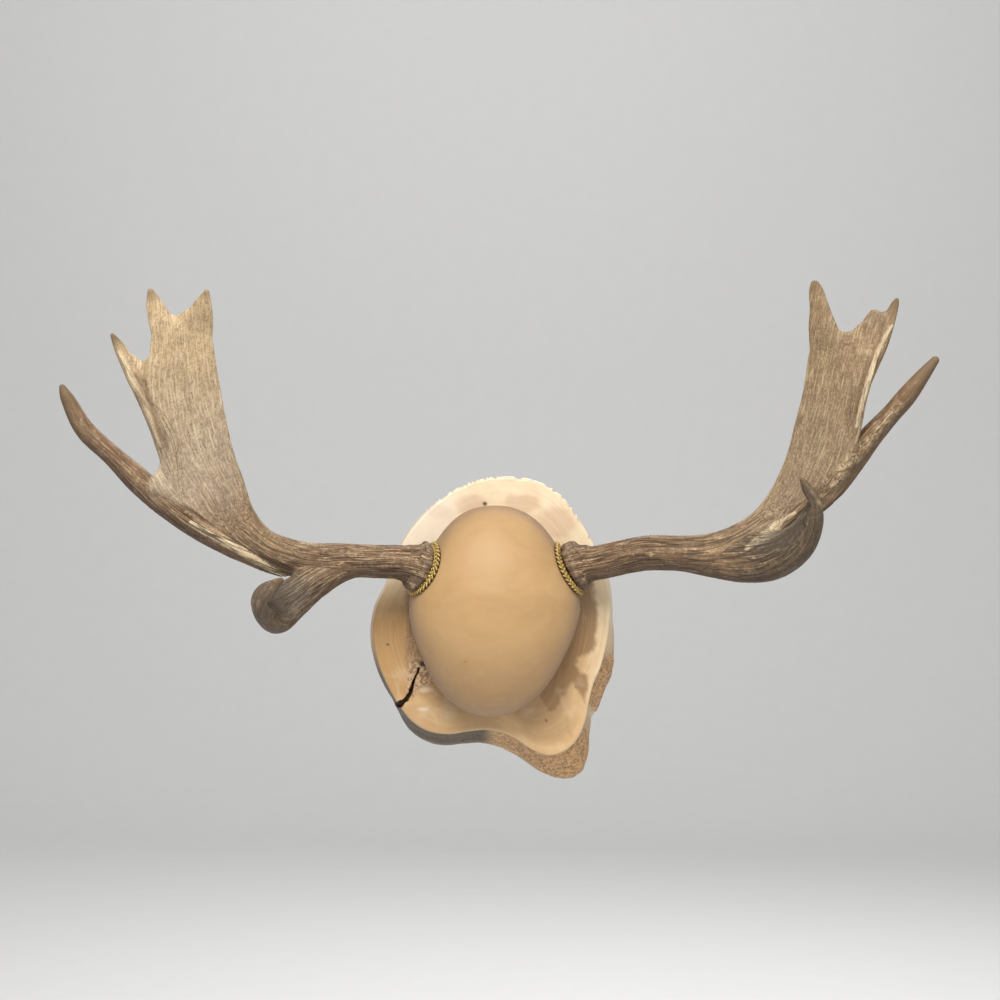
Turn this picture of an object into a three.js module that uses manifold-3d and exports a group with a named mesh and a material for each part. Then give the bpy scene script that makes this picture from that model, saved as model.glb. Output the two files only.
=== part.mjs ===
// A pair of moose antlers on a leather-covered skull form, screwed to a live-edge slice of wood for a wall.
// Millimetres, +Z up, +X to the viewer's right, +Y into the wall. The origin is on the slice's flat back.
import * as THREE from 'three';
import { mergeVertices } from 'three/addons/utils/BufferGeometryUtils.js';
import Module from 'manifold-3d';

const wasm = await Module();
wasm.setup();

// Driving dimensions
const GAP = 0.3; // air left between pieces that touch
const SLICE_THICKNESS = 35;
const SLICE_CENTRE = new THREE.Vector3(0, 0, 8); // the outline is drawn round this point
const EDGE_ROUNDING = 5; // of the slice's front edge
const BARK_ROUGHNESS = 1.6;

const FORM_CENTRE = new THREE.Vector3(0, -57, 27); // where the form is widest
const FORM_HALF_WIDTH = 96;
const FORM_BULGE = 75; // from its centre to the apex in front
const FORM_UNDERCUT = 60; // how steeply it tucks in towards the slice
const FORM_TOP = { reach: 110, taper: 0.75, lean: 0 }; // above its centre
const FORM_FOOT = { reach: 126, taper: 0.45, lean: -5 }; // below it, where it leans to one side

const TRIM_RADIUS = 27.5; // of the braid's middle line round the antler base
const TRIM_HALF_WIDTH = 4.3;
const TRIM_HALF_THICKNESS = 3;

const BURR_RADIUS = 23; // of the bony ring at the antler's base
const BURR_THICKNESS = 6.5;
const BURR_OFFSET = 11; // the burr's middle stands this far out along the antler
const BURR_KNOBS = 11;
const KNOB_HEIGHT = 1.8; // how far the knobs swell out of the ring, or the hollows sink between them

const TOWARDS_VIEWER = new THREE.Vector3(0, -1, 0);
const FLUTE_DEPTH = 0.035; // share of the radius by which the long ridges stand out
const CUP = 0.045; // how much a flat blade curls towards its face
const SCREW_HEAD_RADIUS = 5;
const SCREW_SHANK_RADIUS = 2.4;
const SCREW_LENGTH = 62;
const SCREW_HEIGHTS = { lower: -28, upper: 62 };

// Outline of the slice's front face, clockwise from the top: [x, z]
const SLICE_OUTLINE = [
  [3, 170], [40, 167], [64, 157], [82, 141], [97, 119], [112, 94], [123, 69], [129, 44], [131, 18],
  [129, -6], [125, -27], [119, -48], [112, -64], [107, -83], [102, -108], [93, -128], [79, -141],
  [62, -146], [43, -140], [25, -128], [8, -120], [-11, -117], [-32, -119], [-52, -122], [-74, -119],
  [-92, -109], [-107, -92], [-121, -68], [-131, -45], [-137, -20], [-138, 2], [-134, 23], [-126, 40],
  [-117, 62], [-109, 86], [-101, 105], [-87, 124], [-67, 142], [-46, 155], [-22, 165],
];

// How far the bark edge stands out at the back, beyond the front face: [degrees anticlockwise from +X, mm]
const SLICE_FLARE = [
  [-180, 3], [-152, 4], [-142, 9], [-130, 14], [-115, 17], [-95, 17], [-80, 20], [-71, 25],
  [-63, 34], [-57, 30], [-50, 15], [-43, 9], [-36, 15], [-26, 16], [-12, 8], [0, 3], [90, 2], [180, 3],
];

// The check that opens the slice's lower left edge: [x, z]
const CRACK = [
  [-118, -92], [-104, -93], [-98, -85], [-91, -79], [-87, -66], [-86, -54], [-83, -46],
  [-88, -47], [-93, -57], [-96, -68], [-101, -76], [-118, -88],
];

// Limbs of the antlers, from root to tip: [x, y, z, half width, half thickness]
const LEFT = {
  side: 'left',
  base: new THREE.Vector3(-75, -76, 65), // the middle of the burr's foot
  trunk: [
    [-56, -68, 56, 18, 18], [-75, -76, 65, 19, 18], [-86, -81, 70, 19, 18.5], [-104, -88, 73, 19, 18.5],
    [-132, -96, 73, 19, 18.5], [-165, -104, 75, 19, 18.5], [-194, -111, 76, 19, 18.5],
    [-224, -118, 82, 20, 18], [-255, -127, 97, 19, 16], [-281, -137, 122, 24, 13], [-300, -149, 156, 31, 11],
    [-317, -163, 191, 36, 9], [-326, -178, 228, 38, 8], [-332, -192, 265, 38, 7.5], [-330, -206, 301, 34, 7],
    [-328, -218, 331, 29, 4],
  ],
  fork: 0.5, // where the beam opens into the palm, as a share of the trunk
  brow: [
    [-172, -104, 70, 13, 13], [-194, -120, 54, 17, 16], [-219, -142, 36, 22, 17], [-237, -168, 25, 26, 16],
    [-244, -196, 32, 19, 13], [-239, -214, 46, 12, 9], [-222, -228, 60, 3, 3],
  ],
  outer: [
    [-253, -126, 82, 9, 9], [-281, -134, 93, 11, 11.5], [-306, -142, 105, 12, 12.5],
    [-331, -151, 121, 13, 13], [-356, -160, 140, 14, 13], [-381, -168, 162, 14, 13],
    [-407, -177, 189, 13, 12], [-432, -187, 220, 11, 10], [-449, -196, 251, 7, 7], [-456, -200, 264, 3, 2.5],
  ],
  points: [
    [ // low point, with the rim that runs down from it
      [-339, -156, 150, 8, 7], [-346, -171, 197, 9, 9], [-355, -183, 224, 9, 10], [-367, -194, 250, 8.5, 9.5],
      [-379, -204, 276, 7.5, 8], [-391, -212, 301, 5.5, 6], [-400, -218, 317, 2, 2],
    ],
    [ // web beside the low point
      [-343, -183, 235, 12, 6], [-355, -193, 262, 12, 6], [-360, -201, 286, 11, 4.5],
    ],
    [ // web up from the fork
      [-290, -143, 118, 10, 6], [-312, -149, 138, 16, 7], [-330, -158, 166, 14, 6.5], [-341, -171, 200, 8, 4],
    ],
    [ // middle point
      [-339, -206, 299, 14, 7], [-347, -214, 321, 12, 6.5], [-353, -222, 344, 9, 5.5], [-358, -228, 361, 3, 2.5],
    ],
    [ // right point
      [-318, -206, 299, 19, 7], [-312, -214, 321, 17, 6.5], [-306, -222, 344, 10, 5.5],
      [-299, -228, 360, 3, 2.5],
    ],
  ],
};

const RIGHT = {
  side: 'right',
  base: new THREE.Vector3(81, -66, 66),
  trunk: [
    [61, -60, 58, 18, 18], [81, -66, 66, 19, 18], [94, -70, 70, 19, 18.5], [117, -79, 72, 18.5, 18.5],
    [144, -88, 78, 18, 18.5], [171, -97, 83, 18.5, 18.5], [203, -105, 83, 19, 18.5], [238, -112, 82, 22, 19],
    [270, -120, 93, 22, 17], [298, -130, 113, 23, 15], [323, -142, 142, 27, 12], [344, -158, 180, 32, 10],
    [356, -174, 218, 34, 8.5], [361, -189, 251, 33, 8], [367, -204, 288, 36, 7], [371, -215, 316, 35, 4],
  ],
  fork: 0.42,
  brow: [
    [241, -112, 80, 18, 16], [272, -128, 79, 24, 17], [299, -152, 83, 26, 16], [322, -178, 99, 23, 14],
    [333, -200, 122, 17, 11], [333, -214, 143, 10, 8], [325, -221, 158, 5, 5], [319, -225, 166, 2, 1.5],
  ],
  outer: [
    [269, -124, 86, 9, 9], [299, -133, 104, 12, 11], [327, -142, 129, 14, 12.5], [354, -152, 157, 15, 13],
    [381, -162, 186, 15, 13], [403, -170, 211, 14, 12.5], [422, -179, 236, 12, 11], [438, -186, 254, 11, 9.5],
    [452, -192, 272, 7, 7], [467, -198, 292, 3, 2.5],
  ],
  points: [
    [ // right point, with the rim that runs down from it
      [380, -168, 197, 6, 6], [384, -184, 230, 7, 8.5], [387, -194, 255, 7, 9.5], [393, -204, 280, 7, 9],
      [402, -213, 305, 7, 8], [410, -221, 329, 6, 6], [419, -228, 353, 2, 2],
    ],
    [ // left point
      [355, -207, 299, 15, 7], [345, -216, 323, 13, 7], [339, -223, 344, 10, 6.5], [335, -228, 360, 8, 5],
      [333, -231, 370, 4, 3],
    ],
    [ // blunt bump between them
      [388, -208, 300, 14, 7], [393, -217, 323, 12, 6], [397, -222, 341, 5, 3.5],
    ],
  ],
};

const MATERIALS = {
  antler: new THREE.MeshStandardMaterial({ color: '#8f7558', roughness: 0.6 }),
  leather: new THREE.MeshStandardMaterial({ color: '#d2a672', roughness: 0.75 }),
  wood: new THREE.MeshStandardMaterial({ color: '#cfa878', roughness: 0.5 }),
  braid: new THREE.MeshStandardMaterial({ color: '#b8923c', roughness: 0.4, metalness: 0.6 }),
  steel: new THREE.MeshStandardMaterial({ color: '#9b9a96', roughness: 0.35, metalness: 1 }),
};

// A closed geometry as a manifold solid, and back
function solidOf(geometry) {
  const bare = geometry.clone();
  bare.deleteAttribute('normal');
  bare.deleteAttribute('uv');
  const merged = mergeVertices(bare, 1e-4);
  return new wasm.Manifold(new wasm.Mesh({
    numProp: 3,
    vertProperties: merged.attributes.position.array,
    triVerts: new Uint32Array(merged.index.array),
  }));
}

// The same for a shape whose faces may have been turned inside out by moving its vertices
function outwardSolid(geometry) {
  const solid = solidOf(geometry);
  if (solid.volume() > 0) return solid;
  const index = geometry.index.array;
  for (let i = 0; i < index.length; i += 3) [index[i + 1], index[i + 2]] = [index[i + 2], index[i + 1]];
  return solidOf(geometry);
}

function geometryOf(solid) {
  const mesh = solid.getMesh();
  const geometry = new THREE.BufferGeometry();
  geometry.setAttribute('position', new THREE.BufferAttribute(mesh.vertProperties, 3));
  geometry.setIndex(new THREE.BufferAttribute(mesh.triVerts, 1));
  geometry.computeVertexNormals();
  return geometry;
}

// Moves every vertex of a geometry to where `place` puts it
function shaped(geometry, place) {
  const position = geometry.attributes.position;
  const point = new THREE.Vector3();
  for (let i = 0; i < position.count; i++) {
    point.fromBufferAttribute(position, i);
    position.setXYZ(i, ...place(point).toArray());
  }
  return geometry;
}

const joined = (solids) => solids.reduce((whole, next) => whole.add(next));

function largestBody(solid) {
  return solid.decompose().reduce((a, b) => (a.volume() > b.volume() ? a : b));
}

const power = (value, exponent) => Math.sign(value) * Math.abs(value) ** exponent;

// The centre line of a limb, with its sizes and a frame that is carried along it without twisting
function spineOf(rows) {
  const samples = 160;
  const line = (points) => new THREE.CatmullRomCurve3(points, false, 'catmullrom');
  const middle = line(rows.map(([x, y, z]) => new THREE.Vector3(x, y, z)));
  const sizes = line(rows.map(([, , , width, thickness]) => new THREE.Vector3(width, thickness, 0)));
  const square = (direction, along) => {
    const shared = direction.dot(along);
    return direction.clone().addScaledVector(along, -shared).normalize();
  };
  const thins = [square(TOWARDS_VIEWER, middle.getTangent(0))];
  for (let i = 1; i <= samples; i++) thins.push(square(thins[i - 1], middle.getTangent(i / samples)));
  const frameAt = (share) => {
    const along = middle.getTangent(share);
    const thin = square(thins[Math.round(share * samples)], along);
    return { along, thin, wide: along.clone().cross(thin) };
  };
  return { middle, sizes, frameAt };
}

// A limb: a tube round its spine, oval where it is thick and blade-like with full edges where it is flat
function limb(rows, { sides, steps, from = 0, to = 1, grow = 0, flute = 0 }) {
  const spine = spineOf(rows);
  const tube = new THREE.CylinderGeometry(1, 1, 1, sides, steps);
  return solidOf(shaped(tube, ({ x, y, z }) => {
    const share = from + (to - from) * (y + 0.5);
    const { x: width, y: thickness } = spine.sizes.getPoint(share);
    const { thin, wide } = spine.frameAt(share);
    const flatness = width / thickness - 1;
    const exponent = 2 / (2 + Math.min(1.2, 0.35 * Math.max(0, flatness)));
    const ridge = 1 + flute * Math.cos((sides / 2) * Math.atan2(z, x));
    const across = power(x, exponent);
    const curl = CUP * Math.max(0, flatness) * width * across * across;
    return spine.middle.getPoint(share)
      .addScaledVector(wide, (width * ridge + grow) * across)
      .addScaledVector(thin, (thickness * ridge + grow) * power(z, exponent) + curl);
  }));
}

// The skull form: an egg-shaped dome, widest just above the slice, that narrows to its top and its foot
function formSection(height) {
  const { reach, taper, lean } = height > 0 ? FORM_TOP : FORM_FOOT;
  const share = Math.min(1, Math.abs(height) / reach);
  return { reach, width: FORM_HALF_WIDTH * (1 - taper * share * share * (1 - share)), shift: lean * share };
}

function formPoint(unit, grow) {
  const { reach } = formSection(unit.z);
  const { width, shift } = formSection(unit.z * reach);
  const depth = unit.y < 0 ? FORM_BULGE : FORM_UNDERCUT;
  return new THREE.Vector3(
    FORM_CENTRE.x + shift + unit.x * (width + grow),
    FORM_CENTRE.y + unit.y * (depth + grow),
    FORM_CENTRE.z + unit.z * (reach + grow),
  );
}

// Everything on the wall's side of the plane that lies a gap in front of the slice
function sliceSide(grow = 0) {
  const size = 500;
  const middle = size / 2 - SLICE_THICKNESS - GAP + grow;
  return solidOf(new THREE.BoxGeometry(size, size, size).translate(0, middle, 0));
}

function formSolid(grow = 0) {
  const dome = shaped(new THREE.SphereGeometry(1, 28, 16), (unit) => formPoint(unit, grow));
  return solidOf(dome).subtract(sliceSide(grow));
}

// How far a point is from the form's middle, where 1 is on its surface
function formReach(point) {
  const from = point.clone().sub(FORM_CENTRE);
  const { reach, width, shift } = formSection(from.z);
  const depth = from.y < 0 ? FORM_BULGE : FORM_UNDERCUT;
  return Math.hypot((from.x - shift) / width, from.y / depth, from.z / reach);
}

// Slides a point along an axis until it lies on the form
function ontoForm(point, axis) {
  let inside = -60;
  let outside = 60;
  while (outside - inside > 0.01) {
    const middle = (inside + outside) / 2;
    if (formReach(point.clone().addScaledVector(axis, middle)) > 1) outside = middle;
    else inside = middle;
  }
  return point.clone().addScaledVector(axis, outside);
}

// Where an antler leaves the form, the way it points there, and two directions across it
function frameOfBase({ base, trunk }) {
  const axis = base.clone().sub(new THREE.Vector3(...trunk[0])).normalize();
  const up = new THREE.Vector3(0, 0, 1).addScaledVector(axis, -axis.z).normalize();
  return { base, axis, up, front: up.clone().cross(axis) };
}

function aroundBase({ base, up, front }, angle, radius) {
  return base.clone()
    .addScaledVector(up, Math.cos(angle) * radius)
    .addScaledVector(front, Math.sin(angle) * radius);
}

// The braid: a flat band that follows the form's surface round the antler's base
function trimSolid(antler, grow = 0) {
  const frame = frameOfBase(antler);
  const ringRadius = 10;
  const band = shaped(new THREE.TorusGeometry(ringRadius, 1, 5, 26), (point) => {
    const angle = Math.atan2(point.y, point.x);
    const across = Math.hypot(point.x, point.y) - ringRadius;
    const radius = TRIM_RADIUS + across * (TRIM_HALF_WIDTH + grow);
    const lift = TRIM_HALF_THICKNESS * 0.6 + point.z * (TRIM_HALF_THICKNESS + grow);
    return ontoForm(aroundBase(frame, angle, radius), frame.axis).addScaledVector(frame.axis, lift);
  });
  return outwardSolid(band);
}

// The burr: a bony ring round the antler's base that swells into knobs of uneven size
function burrSolid(antler) {
  const frame = frameOfBase(antler);
  const ringRadius = 10;
  const ring = shaped(new THREE.TorusGeometry(ringRadius, 1, 5, BURR_KNOBS * 2), (point) => {
    const angle = Math.atan2(point.y, point.x);
    const knob = Math.cos(BURR_KNOBS * angle);
    const size = BURR_THICKNESS + KNOB_HEIGHT * knob * (1 + 0.4 * Math.sin(3 * angle + 1));
    const across = Math.hypot(point.x, point.y) - ringRadius;
    return aroundBase(frame, angle, BURR_RADIUS + across * size)
      .addScaledVector(frame.axis, BURR_OFFSET + 1.5 * Math.sin(2 * angle) + point.z * size);
  });
  return outwardSolid(ring).subtract(formSolid(GAP)).subtract(trimSolid(antler, GAP));
}

// The limbs of an antler as solids, or grown a little to keep its other pieces clear of them
function limbsOf({ trunk, fork, points, outer, brow }, grow = 0) {
  return {
    beam: limb(trunk, { sides: 16, steps: 11, to: fork, flute: FLUTE_DEPTH, grow }),
    blade: joined([
      limb(trunk, { sides: 14, steps: 14, from: fork, grow }),
      ...points.map((rows) => limb(rows, { sides: 8, steps: 6, grow })),
    ]),
    outer: limb(outer, { sides: 12, steps: 11, flute: FLUTE_DEPTH, grow }),
    brow: limb(brow, { sides: 14, steps: 11, flute: FLUTE_DEPTH, grow }),
  };
}

function antlerMeshes(antler) {
  const limbs = limbsOf(antler);
  const clear = limbsOf(antler, GAP);
  const { middle, frameAt } = spineOf(antler.trunk);
  const ahead = frameAt(antler.fork).along;
  const across = { sides: 16, steps: 2, from: antler.fork - 0.02, to: antler.fork + 0.02, grow: GAP };
  const trunk = joined([clear.beam, clear.blade, limb(antler.trunk, across)]);
  const pieces = {
    beam: limbs.beam.add(burrSolid(antler)),
    brow_tine: limbs.brow.subtract(trunk.add(clear.outer)),
    palm: limbs.blade.trimByPlane(ahead.toArray(), ahead.dot(middle.getPoint(antler.fork)) + GAP),
    outer_tine: limbs.outer.subtract(trunk),
  };
  return Object.entries(pieces).map(([name, solid]) =>
    named(`${antler.side}_${name}`, largestBody(solid), MATERIALS.antler));
}

// Numbers scattered between -1 and 1, the same on each run, for the bark
const jitter = (i, seed) => {
  const value = Math.sin(i * 12.9898 + seed * 78.233) * 43758.5453;
  return 2 * (value - Math.floor(value)) - 1;
};

function flareAt(degrees) {
  const next = SLICE_FLARE.findIndex(([angle]) => angle >= degrees);
  if (next <= 0) return SLICE_FLARE[0][1];
  const [[a, low], [b, high]] = [SLICE_FLARE[next - 1], SLICE_FLARE[next]];
  return low + ((high - low) * (degrees - a)) / (b - a);
}

// The slice: its outline spreads from the front face to the wider, bark-covered back
function sliceSolid() {
  const sides = 80;
  const outline = new THREE.CatmullRomCurve3(
    SLICE_OUTLINE.map(([x, z]) => new THREE.Vector3(x, 0, z)), true, 'catmullrom');
  const levels = [ // [depth behind the front face, inset from the outline, share of the flare]
    [0, EDGE_ROUNDING, 0], [EDGE_ROUNDING * 0.3, EDGE_ROUNDING * 0.3, 0], [EDGE_ROUNDING, 0, 0.02],
    [SLICE_THICKNESS * 0.45, 0, 0.4], [SLICE_THICKNESS * 0.75, 0, 0.8], [SLICE_THICKNESS, 0, 1],
  ];
  const drum = new THREE.CylinderGeometry(1, 1, 1, sides, levels.length - 1);
  const slab = shaped(drum, ({ x, y, z }) => {
    const [depth, inset, share] = levels[Math.round((y + 0.5) * (levels.length - 1))];
    const rim = Math.round((Math.atan2(x, z) / (2 * Math.PI)) * sides + sides) % sides;
    const edge = outline.getPoint(rim / sides);
    const out = edge.clone().sub(SLICE_CENTRE).normalize();
    const flare = flareAt(THREE.MathUtils.radToDeg(Math.atan2(out.z, out.x)));
    const roughness = share > 0 ? BARK_ROUGHNESS * Math.min(1, flare / 12) : 0;
    const bark = roughness * jitter(rim, Math.round(share * 10));
    const atMiddle = Math.hypot(x, z) < 0.5;
    const place = atMiddle ? SLICE_CENTRE.clone() : edge.addScaledVector(out, flare * share + bark - inset);
    place.y = depth - SLICE_THICKNESS;
    return place;
  });
  const crack = new THREE.ExtrudeGeometry(
    new THREE.Shape(CRACK.map(([x, z]) => new THREE.Vector2(x, z))),
    { depth: SLICE_THICKNESS * 2, bevelEnabled: false });
  crack.rotateX(Math.PI / 2).translate(0, SLICE_THICKNESS * 0.5, 0);
  return outwardSolid(slab).subtract(solidOf(crack));
}

// A countersunk wood screw driven from the slice's back into the form, pointing along -Y
function screwSolid(height, grow = 0) {
  const head = SCREW_HEAD_RADIUS + grow;
  const shank = SCREW_SHANK_RADIUS + grow;
  const profile = [
    [0, grow], [head, grow], [head, -0.8], [shank, -4.5], [shank, -SCREW_LENGTH + 6], [0, -SCREW_LENGTH - grow],
  ].map(([x, y]) => new THREE.Vector2(x, y - 0.5));
  const turned = solidOf(new THREE.LatheGeometry(profile.reverse(), 12).translate(0, 0, height));
  if (grow > 0) return turned;
  const driveSlot = new THREE.BoxGeometry(1.2, 2, head * 1.5).translate(0, 0, height);
  return turned.subtract(solidOf(driveSlot));
}

function named(name, solid, material) {
  const mesh = new THREE.Mesh(geometryOf(solid), material);
  mesh.name = name;
  return mesh;
}

const screws = Object.entries(SCREW_HEIGHTS);
const screwHoles = joined(screws.map(([, height]) => screwSolid(height, GAP)));
const sockets = joined([LEFT, RIGHT].map((antler) => limbsOf(antler, GAP).beam));
const form = formSolid().subtract(screwHoles).subtract(sockets);

const mount = new THREE.Group();
mount.add(named('wood_slice', largestBody(sliceSolid().subtract(screwHoles)), MATERIALS.wood));
mount.add(named('skull_form', largestBody(form), MATERIALS.leather));
for (const [name, height] of screws) mount.add(named(`${name}_screw`, screwSolid(height), MATERIALS.steel));
for (const antler of [LEFT, RIGHT]) {
  const side = new THREE.Group();
  side.add(...antlerMeshes(antler));
  const keepOff = joined([formSolid(GAP), limbsOf(antler, GAP).beam, sliceSide()]);
  side.add(named(`${antler.side}_trim`, largestBody(trimSolid(antler).subtract(keepOff)), MATERIALS.braid));
  mount.add(side);
}

export default mount;
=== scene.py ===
"""A moose antler mount: two antlers on a leather skull form, screwed to a live-edge slice of wood.

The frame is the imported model's: +Z up, +X to the viewer's right, +Y into the wall. The meshes are in
metres, and the sizes in the classes are millimetres.
"""

from __future__ import annotations

import logging
import math
from dataclasses import dataclass
from enum import Enum
from typing import Any, Sequence

import bpy
import numpy as np
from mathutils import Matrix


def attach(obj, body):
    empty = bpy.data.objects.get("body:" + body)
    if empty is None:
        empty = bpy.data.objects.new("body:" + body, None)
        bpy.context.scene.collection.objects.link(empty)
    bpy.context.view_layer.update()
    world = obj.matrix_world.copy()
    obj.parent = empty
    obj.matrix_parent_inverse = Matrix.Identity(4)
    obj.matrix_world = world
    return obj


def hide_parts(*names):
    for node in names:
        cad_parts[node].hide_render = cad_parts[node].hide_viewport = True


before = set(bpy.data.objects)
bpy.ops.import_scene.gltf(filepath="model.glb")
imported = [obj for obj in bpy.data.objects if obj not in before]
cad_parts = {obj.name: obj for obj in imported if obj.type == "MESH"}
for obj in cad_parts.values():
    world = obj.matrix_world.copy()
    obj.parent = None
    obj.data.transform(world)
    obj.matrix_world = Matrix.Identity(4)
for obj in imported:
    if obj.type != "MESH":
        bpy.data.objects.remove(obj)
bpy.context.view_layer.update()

LOG = logging.getLogger("antler_mount")
Array = np.ndarray
Rows = Sequence[Sequence[float]]

MM = 0.001  # metres in a millimetre
CUP = 0.045  # how far a flat blade bends back, as a share of its width for each time it is wider than thick
BLADE_PATTERN = 0.8  # how much narrower the surface pattern is drawn through a limb than across it


class Slot(Enum):
    """The record's material slots."""

    ANTLER = "antler"
    LEATHER = "leather"
    WOOD = "wood"
    BRAID = "braid"


class Growth(Enum):
    """What a limb of an antler is, which sets how its surface grew."""

    TRUNK = "trunk"
    BROW = "brow"
    OUTER = "outer"
    POINT = "point"
    WEB = "web"
    RIM = "rim"


# ---------------------------------------------------------------- arithmetic on whole arrays


def smooth(low: float, high: float, value: Array) -> Array:
    """Rises from 0 at low to 1 at high along the cubic 3t^2 - 2t^3.

    Args:
        low: where the rise starts.
        high: where it ends; below low, the curve falls instead.
        value: the numbers to carry through the curve.

    Returns:
        The curve's height for each value.
    """
    share = np.clip((value - low) / (high - low), 0.0, 1.0)
    return share * share * (3 - 2 * share)


def unit(vectors: Array) -> Array:
    """Scales each row vector to length 1."""
    return vectors / np.maximum(np.linalg.norm(vectors, axis=-1, keepdims=True), 1e-12)


def curve(rows: Array, shares: Array, closed: bool = False) -> Array:
    """Points of the Catmull-Rom curve through rows.

    Each span is the cubic through its two rows whose slope at each of them is half the step between the
    row's two neighbours.

    Args:
        rows: the rows to pass through, with any number of columns.
        shares: where on the curve, from 0 at the first row to 1 at the last, all spans counting alike.
        closed: whether the curve returns to its first row.

    Returns:
        One interpolated row for each share.
    """
    spans = len(rows) if closed else len(rows) - 1
    place = np.clip(shares, 0.0, 1.0) * spans
    index = np.minimum(place.astype(int), spans - 1)
    t = (place - index)[:, None]
    if closed:
        before, start, end, after = (rows[(index + k) % len(rows)] for k in (-1, 0, 1, 2))
    else:
        padded = np.vstack([2 * rows[0] - rows[1], rows, 2 * rows[-1] - rows[-2]])
        before, start, end, after = (padded[index + k] for k in range(4))
    slope_in, slope_out = (end - before) / 2, (after - start) / 2
    cubic = 2 * start - 2 * end + slope_in + slope_out
    square = -3 * start + 3 * end - 2 * slope_in - slope_out
    return ((cubic * t + square) * t + slope_in) * t + start


def patch(x: Array, z: Array, corners: Rows, soft: float = 1.5) -> Array:
    """How far places lie inside a flat outline: 1 inside, 0 outside, with a soft border.

    The distance to the nearest side of the outline counts as positive where a ray from the place crosses
    the outline an odd number of times.

    Args:
        x: the places' x.
        z: their z.
        corners: the outline's corners, as x and z.
        soft: half the border's width.

    Returns:
        The share for each place.
    """
    ring = np.array(corners, dtype=float)
    nearest, inside = np.full(len(x), np.inf), np.zeros(len(x), dtype=bool)
    for (ax, az), (bx, bz) in zip(ring, np.roll(ring, -1, axis=0)):
        run, rise = bx - ax, bz - az
        share = np.clip(((x - ax) * run + (z - az) * rise) / (run * run + rise * rise), 0, 1)
        nearest = np.minimum(nearest, np.hypot(x - ax - share * run, z - az - share * rise))
        inside ^= ((az > z) != (bz > z)) & (x < ax + run * (z - az) / (rise if rise else 1.0))
    return smooth(-soft, soft, np.where(inside, nearest, -nearest))


class Noise:
    """Gradient noise: each corner of a lattice holds a random slope, and a quintic fade blends the slopes."""

    def __init__(self, seed: int) -> None:
        """Draws the lattice's slopes.

        Args:
            seed: the draw's seed, so that each run gives the same surface.
        """
        draw = np.random.default_rng(seed)
        self.order = draw.permutation(256)
        self.slopes = unit(draw.normal(size=(256, 3)))

    def at(self, points: Array) -> Array:
        """The noise, about -1 to 1, with one bump per unit of length.

        Args:
            points: places, one row of three numbers each.

        Returns:
            One number per place.
        """
        cell = np.floor(points).astype(int)
        inside = points - cell
        fade = inside**3 * (inside * (inside * 6 - 15) + 10)
        total = np.zeros(len(points))
        for corner in np.ndindex(2, 2, 2):
            i, j, k = ((cell + corner) & 255).T
            slope = self.slopes[self.order[(self.order[(self.order[i] + j) & 255] + k) & 255]]
            share = np.prod(np.where(np.array(corner) == 1, fade, 1 - fade), axis=1)
            total += share * np.sum(slope * (inside - corner), axis=1)
        return 1.6 * total

    def rough(self, points: Array, layers: int = 3) -> Array:
        """Adds finer layers of the noise, each half as wide and half as high as the one before."""
        return sum(self.at(points * 2**layer + 17.3 * layer) / 2**layer for layer in range(layers))


# ---------------------------------------------------------------- meshes


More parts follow.
